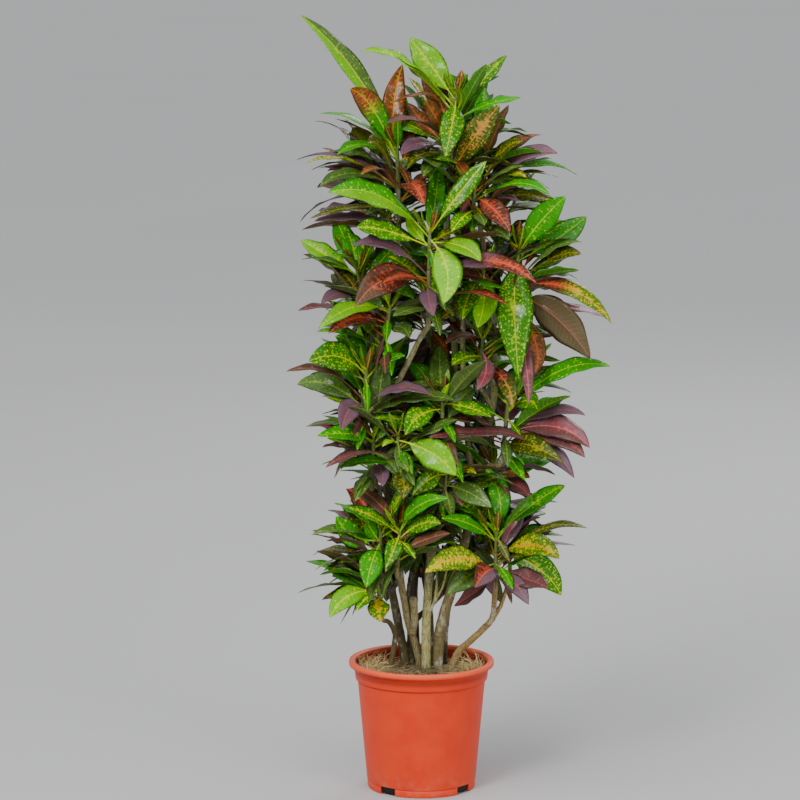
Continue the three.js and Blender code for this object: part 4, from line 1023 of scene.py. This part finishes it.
SHARP_FROM = 38
SLOTS, FIRST_SLOT = 4, -39
SLOT_DEPTH, SLOT_WIDTH, SLOT_HEIGHT = 26, 28, 13
SLOT_ROUND = 2.5


def make_pot(material):
    profile = [((r + dr) * MM, (z + dz) * MM) for (r, z), *offsets in POT_CORNERS for dr, dz in offsets]
    pot = finished_piece("pot_moulding", spun(profile, POT_STEPS, 1e-6), [material], "pot", "pot")
    cutter = slot_cutter()
    cut = pot.modifiers.new("drain_slots", "BOOLEAN")
    cut.object = cutter
    cut.solver = "EXACT"
    graph = bpy.context.evaluated_depsgraph_get()
    mesh = bpy.data.meshes.new_from_object(pot.evaluated_get(graph))
    pot.modifiers.clear()
    pot.data = mesh
    mesh.shade_smooth()
    mesh.set_sharp_from_angle(angle=math.radians(SHARP_FROM))
    bpy.data.objects.remove(cutter)


def slot_cutter():
    """Four blocks with rounded upper corners, standing through the pot's foot."""
    bm = bmesh.new()
    for i in range(SLOTS):
        turn = math.radians(FIRST_SLOT + 360 / SLOTS * i)
        size = Matrix.Diagonal((SLOT_DEPTH, SLOT_WIDTH, SLOT_HEIGHT + 2, 1))
        place = Matrix.Rotation(turn, 4, "Z") @ Matrix.Translation((POT_FOOT, 0, SLOT_HEIGHT / 2 - 1))
        made = bmesh.ops.create_cube(bm, size=1, matrix=Matrix.Scale(MM, 4) @ place @ size)
        along = heading(turn, 0)
        top = [e for e in {e for v in made["verts"] for e in v.link_edges}
               if all(v.co.z > SLOT_HEIGHT / 2 * MM for v in e.verts)
               and abs((e.verts[0].co - e.verts[1].co).normalized().dot(along)) > 0.9]
        bmesh.ops.bevel(bm, geom=top, offset=SLOT_ROUND * MM, affect="EDGES", segments=4, profile=0.5,
                        material=-1)
    return put("slot_cutter", mesh_of("slot_cutter", bm))


# Potting mix: the mound's heights by radius, in millimetres.
SOIL_EDGE, SOIL_MIDDLE = 175.5, 182
SOIL_MOUND = ((0, 1), (45, 0.8), (75, 0.45), (90, 0.2), (98.5, 0))
SOIL_STEPS, SOIL_RINGS = 120, 46
SOIL_SIDES = ((97.6, 174), (95.7, 170), (80.4, 2.9), (0, 2.9))
# Crumbs and heaps on it: scales per millimetre and heights, and how far they die down near the edge.
CRUMB_SCALES, CRUMB_HEIGHT = (0.16, 0.4), 1.6
HEAP_SCALE, HEAP_HEIGHT = 0.04, 2.2
CALM_EDGE, CALMED = (88, 99), 0.7


def mound_height(radius):
    rise = SOIL_MIDDLE - SOIL_EDGE
    for (r0, s0), (r1, s1) in zip(SOIL_MOUND, SOIL_MOUND[1:]):
        if radius <= r1:
            return SOIL_EDGE + rise * between((s0, s1), (radius - r0) / (r1 - r0))
    return SOIL_EDGE


def soil_height(x, y):
    """The mix's surface: the mound with crumbs and heaps on it."""
    radius, spot = math.hypot(x, y), Vector((x, y, 0))
    coarse, fine = CRUMB_SCALES
    crumb = noise.noise(spot * coarse) * CRUMB_HEIGHT + abs(noise.noise(spot * fine + UP * 9)) * CRUMB_HEIGHT
    heaped = noise.noise(spot * HEAP_SCALE + UP * 4) * HEAP_HEIGHT
    return mound_height(radius) + (crumb + heaped) * (1 - CALMED * smooth_step(*CALM_EDGE, radius))


def soil_body():
    """The mix with its mounded crumbly top, down to the pot's floor."""
    top = [(SOIL_MOUND[-1][0] * i / SOIL_RINGS, SOIL_EDGE) for i in range(SOIL_RINGS + 1)]
    bm = spun([*top, *SOIL_SIDES], SOIL_STEPS, 1e-3)
    for v in bm.verts:
        if abs(v.co.z - SOIL_EDGE) < 0.01:
            v.co.z = soil_height(v.co.x, v.co.y)
        v.co *= MM
    return mesh_of("soil_body", bm)


def make_soil(*materials):
    bm = bmesh.new()
    layer = bm.verts.layers.float_color.new("fibre_tone")
    bm.from_mesh(soil_body())
    for v in bm.verts:
        v[layer] = (*FIBRE_TONES[0], 1)
    lay_fibres(bm, layer)
    finished_piece("potting_mix", bm, materials, "soil", "soil")


# Coir and dry grass on the mix: [how many, length, thickness, how much they stand up].
FIBRE_KINDS = (
    (1500, (14, 34), (0.35, 0.7), 0.08),
    (420, (22, 52), (0.3, 0.6), 0.3),
    (150, (10, 22), (0.9, 2.0), 0.12),
)
FIBRE_RINGS, FIBRE_TAPER, FIBRE_WANDER, FIBRE_ARCH = 6, 0.6, 0.16, 0.6
# Towards the back they lie flatter, so that the wall shows behind them, and in the middle they are darker.
FLAT_FROM, FLATTENED = (10, 60), 0.8
DARK_WITHIN, DARKENED = (20, 78), 0.5
FIBRE_SEED = 77
MOST_STAND = 1.4
# Dry straw stands in tufts, most of it at the left and right edges: [x, y, spread, how many, height].
TUFTS = (
    (-86, 2, 10, 130, 34), (-82, 26, 10, 80, 26), (-84, -26, 11, 80, 24), (-60, 58, 12, 30, 10),
    (84, 4, 10, 130, 32), (80, 26, 10, 80, 24), (82, -26, 11, 70, 24), (50, 58, 12, 30, 10),
    (10, 74, 26, 30, 4), (-8, -66, 32, 70, 6), (44, -4, 14, 50, 9), (-44, 4, 14, 50, 9),
)
STRAW_LENGTH = (22, 46)
STRAW_RADIUS = (0.3, 0.6)
# Most straws lie lower than their tuft: the least share of its height, and the power that favours it.
STRAW_LOW, STRAW_POWER = (0.2, 1), 2.5
FIBRE_TONES = (ink(196, 178, 128), ink(164, 140, 92), ink(128, 100, 62), ink(206, 196, 150), ink(92, 66, 40))
STRAW_TONES = (ink(236, 218, 160), ink(220, 198, 134), ink(198, 172, 110), ink(172, 142, 86))
# Fibres keep inside the pot's wall and turn by so much where they near it.
POT_INSIDE, WALL_TURN = 97, 0.9
FIBRE_SHADES = (0.75, 1.15)
# The most that a fibre and a straw turn along their length, in radians.
FIBRE_CURL, STRAW_CURL = 1.3, 0.45


def fibre_stations(rng, x, y, length, thick, stand, turn, curl):
    stations, bend = [], rng.uniform(-curl, curl)
    flat = math.sqrt(max(1 - min(stand, 0.95) ** 2, 0))
    for k in range(FIBRE_RINGS + 1):
        share = k / FIBRE_RINGS
        arch = stand * length * math.sin(share * math.pi * FIBRE_ARCH)
        height = soil_height(x, y) + thick * 0.5 + arch
        stations.append((Vector((x, y, height)), thick * (1 - FIBRE_TAPER * share)))
        x += math.cos(turn) * flat * length / FIBRE_RINGS
        y += math.sin(turn) * flat * length / FIBRE_RINGS
        turn += bend / FIBRE_RINGS + rng.uniform(-FIBRE_WANDER, FIBRE_WANDER)
        if math.hypot(x, y) > POT_INSIDE - 4:
            turn += WALL_TURN
    points = [p for p, _ in stations]
    ahead = [(b - a).normalized() for a, b in zip(points, points[1:])]
    return [(p, r, d) for (p, r), d in zip(stations, [*ahead, ahead[-1]])]


def fibre_jobs(rng):
    """Each fibre's place, length, thickness, stand, turn, curl and tones."""
    for count, lengths, thicks, stand in FIBRE_KINDS:
        for _ in range(count):
            radius, angle = (POT_INSIDE - 2) * math.sqrt(rng.random()), rng.uniform(0, math.tau)
            x, y = radius * math.cos(angle), radius * math.sin(angle)
            rise = stand * (1 - FLATTENED * smooth_step(*FLAT_FROM, y)) * rng.uniform(0, MOST_STAND)
            length, thick = rng.uniform(*lengths), rng.uniform(*thicks) / 2
            yield x, y, length, thick, rise, rng.uniform(0, math.tau), FIBRE_CURL, FIBRE_TONES
    for x, y, spread, count, height in TUFTS:
        for _ in range(count):
            a, b = x + rng.gauss(0, spread), y + rng.gauss(0, spread)
            if math.hypot(a, b) < POT_INSIDE - 2:
                length = rng.uniform(*STRAW_LENGTH)
                thick = rng.uniform(*STRAW_RADIUS)
                rise = height / length * rng.uniform(*STRAW_LOW) ** STRAW_POWER
                yield a, b, length, thick, rise, rng.uniform(0, math.tau), STRAW_CURL, STRAW_TONES


def lay_fibres(bm, layer):
    rng, patterns, first_face = random.Random(FIBRE_SEED), {}, len(bm.faces)
    for *job, tones in fibre_jobs(rng):
        stations = [s for s in fibre_stations(rng, *job) if s[0].xy.length < POT_INSIDE + 2]
        if len(stations) > 2:
            light = 1 - DARKENED + DARKENED * smooth_step(*DARK_WITHIN, stations[0][0].xy.length)
            shade = rng.uniform(*FIBRE_SHADES) * light
            tone = [c * shade for c in rng.choice(tones)]
            add_tube(bm, patterns, stations, 3, lambda *_: 0, skin_mark(layer, tone, tone, lambda share: 0))
    second_material(bm, first_face)


class Nodes:
    """Adds shader nodes to a tree, each fed by values or by other nodes' sockets."""

    def __init__(self, tree):
        self.tree = tree

    def add(self, kind, values=(), **settings):
        node = self.tree.nodes.new(kind)
        for name, value in settings.items():
            setattr(node, name, value)
        for name, value in dict(values).items():
            self.feed(node.inputs[name], value)
        return node

    def feed(self, socket, value):
        if isinstance(value, bpy.types.NodeSocket):
            self.tree.links.new(value, socket)
        elif socket.type == "RGBA" and len(value) == 3:
            socket.default_value = (*value, 1)
        else:
            socket.default_value = value

    def sum(self, operation, *values):
        node = self.add("ShaderNodeMath", operation=operation)
        for socket, value in zip(node.inputs, values):
            self.feed(socket, value)
        return node.outputs[0]

    def times(self, one, two):
        return self.sum("MULTIPLY", one, two)

    def times_plus(self, one, two, more):
        return self.sum("MULTIPLY_ADD", one, two, more)

    def mix(self, share, one, two, blend="MIX"):
        node = self.add("ShaderNodeMix", data_type="RGBA", blend_type=blend)
        for name, value in (("Factor_Float", share), ("A_Color", one), ("B_Color", two)):
            socket = next(s for s in node.inputs if s.identifier == name)
            self.feed(socket, value)
        return next(s for s in node.outputs if s.identifier == "Result_Color")

    def ramp(self, value, low, high):
        """0 below low, 1 above high, smooth between. low may be above high, which turns it round."""
        node = self.add("ShaderNodeMapRange", {"Value": value, "From Min": low, "From Max": high},
                        interpolation_type="SMOOTHSTEP")
        return node.outputs["Result"]

    def noise(self, place, scale, detail=3, roughness=0.55):
        values = {"Vector": place, "Scale": scale, "Detail": detail, "Roughness": roughness}
        return self.add("ShaderNodeTexNoise", values).outputs["Fac"]

    def dots(self, place, scale, cover, least, gain):
        """Round dots in a share of the cells of a flat pattern, of several sizes."""
        cells = self.add("ShaderNodeTexVoronoi", {"Vector": place, "Scale": scale}, voronoi_dimensions="2D")
        one, two, _ = self.parts(cells.outputs["Color"])
        ragged = self.times_plus(self.noise(place, scale * 4, 2), 0.4, least - 0.2)
        size = self.times_plus(two, gain, ragged)
        held = self.ramp(self.sum("SUBTRACT", cover, one), 0, 0.02)
        return self.times(held, self.ramp(self.sum("SUBTRACT", size, cells.outputs["Distance"]), 0, 0.14))

    def point(self, x, y, z):
        return self.add("ShaderNodeCombineXYZ", {"X": x, "Y": y, "Z": z}).outputs[0]

    def parts(self, vector):
        return self.add("ShaderNodeSeparateXYZ", {"Vector": vector}).outputs

    def attribute(self, name, out="Vector"):
        return self.add("ShaderNodeAttribute", attribute_name=name).outputs[out]

    def stretched(self, place, *scale):
        return self.add("ShaderNodeMapping", {"Vector": place, "Scale": scale}).outputs[0]

    def grey(self, tone, shade):
        """A tone made lighter or darker all through."""
        return self.mix(1, tone, self.point(shade, shade, shade), "MULTIPLY")


def effect_group(name, inputs):
    """A node group that makes a look's colour, roughness and height from inputs, given with their kinds."""
    tree = bpy.data.node_groups.new(name, "ShaderNodeTree")
    outputs = {"Colour": "Color", "Roughness": "Float", "Height": "Float"}
    for in_out, sockets in (("INPUT", inputs), ("OUTPUT", outputs)):
        for socket, kind in sockets.items():
            tree.interface.new_socket(socket, in_out=in_out, socket_type=f"NodeSocket{kind}")
    nodes = Nodes(tree)
    return tree, nodes, nodes.add("NodeGroupInput").outputs, nodes.add("NodeGroupOutput").inputs


def new_finish(name):
    """A material, and the nodes, the shader and the place on the object to build it with."""
    material = bpy.data.materials.new(name)
    material.use_nodes = True
    nodes = Nodes(material.node_tree)
    place = nodes.add("ShaderNodeTexCoord").outputs["Object"]
    return material, nodes, material.node_tree.nodes["Principled BSDF"], place


def dress(nodes, shader, colour, roughness, height, strength, distance):
    """Gives a shader its colour, its roughness and its bumps, distance metres high at full strength."""
    bump = nodes.add("ShaderNodeBump", {"Height": height, "Strength": strength, "Distance": distance})
    for name, value in (("Base Color", colour), ("Roughness", roughness), ("Normal", bump.outputs[0])):
        nodes.feed(shader.inputs[name], value)


# Side veins: their distance from each other in millimetres, and how steeply they leave the midrib.
VEIN_PITCH = 8
VEIN_SLANT = 0.62


def leaf_marks_group():
    """Midrib, side veins, dots and blotches of a leaf from its own place, spread, habit and inks."""
    vectors, colours = ("Place", "Spread", "Habit", "Object place"), ("Ground", "Fleck", "Rib")
    inputs = dict.fromkeys(vectors, "Vector") | dict.fromkeys(colours, "Color")
    tree, n, given, made = effect_group("leaf_marks", inputs)
    across, along, seed = n.parts(given["Place"])
    x, y, under = n.parts(given["Spread"])
    cover, blotch, veins = n.parts(given["Habit"])
    spot = n.point(n.times_plus(seed, 900, x), n.times_plus(seed, 433, y), 0)
    aside = n.sum("ABSOLUTE", x)
    edge = n.sum("ABSOLUTE", across)

    # The midrib narrows to the tip.
    rib_half = n.times_plus(n.sum("SUBTRACT", 1, along), 1.05, 0.45)
    rib = n.ramp(n.sum("DIVIDE", aside, rib_half), 1.2, 0.7)

    # Side veins as slanting rungs that sway, a line on each and a broader zone round it.
    sway = n.noise(spot, 0.07, 2)
    rung = n.times_plus(sway, 6, n.times_plus(aside, -VEIN_SLANT, y))
    wave = n.sum("PINGPONG", rung, VEIN_PITCH / 2)
    vein_line = n.times(n.ramp(wave, 0.6, 0.1), n.ramp(edge, 0.98, 0.5))
    vein_zone = n.times(n.ramp(wave, 2.4, 0.3), n.ramp(edge, 1.0, 0.5))

    # Blotches run together where broad and fine noise, the midrib and the veins add up.
    broad = n.noise(spot, 0.04, 2)
    medium = n.noise(spot, 0.16, 4)
    middle = n.times(n.ramp(edge, 0.9, 0.1), 0.3)
    near = n.times_plus(vein_zone, 0.12, middle)
    reach = n.times_plus(broad, 0.8, n.times_plus(medium, 0.9, near))
    patch = n.ramp(n.times_plus(blotch, 0.55, reach), 1.25, 1.46)

    # Dots and smaller specks, in crowds.
    crowded = n.times(cover, n.times_plus(medium, 2.4, -0.2))
    dots = n.dots(spot, 0.23, crowded, 0.2, 0.3)
    specks = n.dots(spot, 0.47, n.times(cover, 0.7), 0.18, 0.2)
    flecks = n.sum("MAXIMUM", patch, n.sum("MAXIMUM", dots, n.times(specks, 0.75)))
    flecks = n.times(flecks, n.ramp(edge, 1.04, 0.9))

    # The upper face, and the duller underside with a raised midrib.
    tone = n.times_plus(n.noise(given["Object place"], 22, 2), 0.6, 0.68)
    tint = n.times_plus(n.noise(spot, 0.35, 4), 0.5, 0.74)
    shade = n.times(tone, tint)
    ground = n.mix(1, given["Ground"], n.point(shade, shade, n.times(shade, shade)), "MULTIPLY")
    warm = n.times(n.ramp(n.noise(spot, 0.11, 3), 0.5, 0.66), 0.7)
    coloured = n.mix(flecks, ground, n.mix(warm, given["Fleck"], given["Rib"]))
    veined = n.mix(n.times(vein_line, veins), coloured, given["Rib"])
    top = n.mix(n.times(rib, 0.9), veined, given["Rib"])
    dull = n.mix(0.45, ground, UNDERSIDE)
    dull = n.mix(n.times(flecks, 0.3), dull, given["Fleck"])
    back = n.mix(n.times(n.sum("MAXIMUM", rib, n.times(vein_line, 0.4)), 0.7), dull, given["Rib"])
    beneath = n.ramp(under, 0.2, 0.7)
    n.feed(made["Colour"], n.mix(beneath, top, back))

    # The blade is cushioned between its side veins and grooved along the midrib.
    gloss = n.times_plus(medium, 0.3, 0.26)
    n.feed(made["Roughness"], n.times_plus(beneath, 0.25, gloss))
    cushion = n.times(n.ramp(wave, 0.0, 3.4), 0.5)
    groove = n.times(rib, n.times_plus(beneath, 1.2, -0.6))
    height = n.sum("ADD", cushion, n.times_plus(n.noise(spot, 1.1, 2), 0.2, groove))
    n.feed(made["Height"], height)
    return tree


def leaf_finish(group):
    material, n, shader, place = new_finish("croton_leaf")
    values = {"Object place": place}
    for kind, names in (("Vector", ("Place", "Spread", "Habit")), ("Color", ("Ground", "Fleck", "Rib"))):
        values |= {name: n.attribute(f"leaf_{name.lower()}", kind) for name in names}
    marks = n.add("ShaderNodeGroup", values, node_tree=group).outputs
    shader.inputs["Specular IOR Level"].default_value = 0.07
    shader.inputs["Coat Weight"].default_value = 0.26
    shader.inputs["Coat Roughness"].default_value = 0.13
    dress(n, shader, marks["Colour"], marks["Roughness"], marks["Height"], 0.55, 0.0009)
    return material


def bark_finish(group, name, age, sheen, strength, distance):
    material, n, shader, place = new_finish(name)
    values = {"Place": place, "Ground": n.attribute("bark_ground", "Color"), "Age": age}
    bark = n.add("ShaderNodeGroup", values, node_tree=group).outputs
    roughness = n.times(bark["Roughness"], sheen)
    dress(n, shader, bark["Colour"], roughness, bark["Height"], strength, distance)
    return material


def bark_group():
    """Bark: streaks along the stem, pale patches, cracks and dark scars. Age runs from 0 to 1."""
    inputs = {"Place": "Vector", "Ground": "Color", "Age": "Float"}
    tree, n, given, made = effect_group("bark_surface", inputs)
    place = given["Place"]
    streaks = n.noise(n.stretched(place, 420, 420, 60), 1, 4)
    patches = n.noise(n.stretched(place, 90, 90, 45), 1, 3)
    bands = n.noise(n.stretched(place, 60, 60, 320), 1, 3)
    cracks = n.ramp(n.noise(n.stretched(place, 700, 700, 110), 1, 3), 0.52, 0.36)
    pale = n.mix(n.times(n.ramp(patches, 0.52, 0.72), given["Age"]), given["Ground"], (0.42, 0.38, 0.27))
    dark = n.mix(n.times(n.ramp(bands, 0.56, 0.74), 0.7), pale, (0.055, 0.042, 0.024))
    lined = n.mix(n.times(cracks, n.times(given["Age"], 0.6)), dark, (0.04, 0.03, 0.018))
    shade = n.times_plus(streaks, 0.9, 0.55)
    n.feed(made["Colour"], n.grey(lined, shade))
    n.feed(made["Roughness"], n.times_plus(streaks, 0.25, 0.62))
    rough = n.times_plus(bands, 0.7, n.times_plus(streaks, 0.5, n.times(cracks, -0.5)))
    n.feed(made["Height"], rough)
    return tree


def pot_finish():
    """Terracotta-coloured moulded plastic: soft mottle, flow streaks, fine scuffs and a dusty foot, with
    painted shade inside the wall and a painted highlight on the lip.
    """
    material, n, shader, place = new_finish("terracotta_plastic")
    height = n.parts(place)[2]
    mottle = n.noise(place, 22, 3)
    streaks = n.noise(n.stretched(place, 70, 70, 9), 1, 3)
    grain = n.noise(place, 900, 2)
    scuffs = n.ramp(n.noise(n.stretched(place, 60, 60, 520), 1, 4, 0.7), 0.63, 0.72)
    tone = n.mix(n.ramp(mottle, 0.3, 0.7), ink(208, 50, 15), ink(216, 60, 23))
    tone = n.mix(n.times(n.ramp(streaks, 0.45, 0.75), 0.35), tone, ink(205, 66, 34))
    tone = n.mix(n.times(scuffs, 0.22), tone, ink(226, 124, 90))
    # Painted shade, with some soil stain, inside the pot: the inner wall is darkened from just below
    #     # the mix's edge up to the lip.
    level = n.stretched(place, 1, 1, 0)
    reach = n.add("ShaderNodeVectorMath", {0: level}, operation="LENGTH").outputs["Value"]
    wall_shade_and_stain = n.times(n.ramp(reach, 0.1045, 0.102), n.ramp(height, 0.176, 0.184))
    low_wall_shade = n.times(n.ramp(reach, 0.1003, 0.0996), n.ramp(height, 0.172, 0.174))
    wall_shade_and_stain = n.sum("MAXIMUM", wall_shade_and_stain, low_wall_shade)
    tone = n.mix(n.times(wall_shade_and_stain, 0.72), tone, ink(70, 22, 14))
    # Painted highlight: the top of the rolled lip is made lighter.
    tone = n.mix(n.times(n.ramp(height, 0.1925, 0.1965), 0.4), tone, ink(236, 120, 76))
    dust = n.times(n.ramp(height, 0.05, 0.004), n.ramp(n.noise(place, 60, 4), 0.4, 0.75))
    tone = n.mix(n.times(dust, 0.4), tone, ink(176, 128, 100))
    roughness = n.times_plus(mottle, 0.16, n.times_plus(dust, 0.3, 0.38))
    shader.inputs["Specular IOR Level"].default_value = 0.22
    dress(n, shader, tone, roughness, n.times_plus(grain, 0.3, n.times(mottle, 1.2)), 0.25, 0.0008)
    return material


def mix_finish():
    """Dark damp potting mix under the fibres, with crumbs of several browns; below its surface it is
    painted near black as shade.
    """
    material, n, shader, place = new_finish("potting_mix")
    crumbs = n.noise(place, 260, 5, 0.7)
    heaps = n.noise(place, 45, 3)
    tone = n.mix(n.ramp(crumbs, 0.35, 0.7), ink(48, 36, 22), ink(116, 92, 56))
    tone = n.mix(n.ramp(heaps, 0.5, 0.72), tone, ink(150, 132, 84))
    # Painted shade: below the surface the mix turns near black, so that it looks dark through the drain slots.
    tone = n.mix(n.ramp(n.parts(place)[2], 0.17, 0.16), tone, ink(26, 21, 16))
    dress(n, shader, tone, n.times_plus(crumbs, 0.2, 0.75), crumbs, 0.9, 0.002)
    return material


def fibre_finish():
    material, n, shader, place = new_finish("dry_fibre")
    blotch = n.noise(place, 150, 3)
    tone = n.grey(n.attribute("fibre_tone", "Color"), n.times_plus(blotch, 0.8, 0.6))
    dress(n, shader, tone, n.times_plus(blotch, 0.2, 0.65), n.noise(place, 2400, 2), 0.3, 0.0003)
    return material


FLOOR_HALF = 45
FLOOR_TONE, FLOOR_PATCH = ink(178, 178, 178), 0.94


def make_floor():
    """A plain pale floor, wide enough to fill the frame from every side."""
    bm = bmesh.new()
    bmesh.ops.create_grid(bm, x_segments=1, y_segments=1, size=FLOOR_HALF)
    floor = put("floor", mesh_of("floor", bm))
    material, n, shader, place = new_finish("floor_paint")
    tone = n.mix(n.noise(place, 0.9, 2), FLOOR_TONE, [c * FLOOR_PATCH for c in FLOOR_TONE])
    n.feed(shader.inputs["Base Color"], tone)
    n.feed(shader.inputs["Roughness"], n.times_plus(n.noise(place, 40, 3), 0.15, 0.75))
    floor.data.materials.append(material)
    floor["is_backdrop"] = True


def add_light(name, kind, place, aim, power, spread):
    """A soft lamp at place, turned to aim. spread is an area's size in metres, or a sun's angle."""
    data = bpy.data.lights.new(name, kind)
    data.energy = power
    if kind == "AREA":
        data.size = spread
    else:
        data.angle = math.radians(spread)
    lamp = put(name, data)
    lamp.location = place
    lamp.rotation_euler = (Vector(aim) - Vector(place)).to_track_quat("-Z", "Y").to_euler()


def make_light():
    world = bpy.data.worlds.new("studio")
    bpy.context.scene.world = world
    world.use_nodes = True
    background = world.node_tree.nodes["Background"]
    background.inputs["Color"].default_value = (0.95, 0.97, 1, 1)
    background.inputs["Strength"].default_value = 0.62
    add_light("overhead", "SUN", (-1.2, -2.0, 4.2), (0, 0, 0), 1.65, 50)
    add_light("key", "AREA", (-1.9, -3.4, 3.0), (0, 0, 0.8), 130, 1.3)
    add_light("fill", "AREA", (2.6, -3.2, 1.4), (0, 0, 0.7), 70, 1.8)
    add_light("behind", "AREA", (1.7, 3.2, 2.9), (0, 0, 0.7), 55, 1.6)


def make_camera():
    data = bpy.data.cameras.new("view")
    data.lens = LENS
    data.sensor_width = SENSOR
    data.clip_end = 100
    camera = put("view", data)
    camera.location = EYE * MM
    camera.rotation_euler = Euler((math.radians(90 - LOOK_DOWN), 0, 0))
    bpy.context.scene.camera = camera


make_camera()
make_floor()
make_light()
make_pot(pot_finish())
make_soil(mix_finish(), fibre_finish())
bark = bark_group()
make_stems(bark_finish(bark, "stem_bark", 1.0, 1, 0.7, 0.0012))
make_shoots(leaf_finish(leaf_marks_group()), bark_finish(bark, "young_stem_skin", 0.25, 0.72, 0.4, 0.0008))

SIZES = {name: [list(corner) for corner in box] for name, box in (("cad", CAD_BOX), ("visual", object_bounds()))}
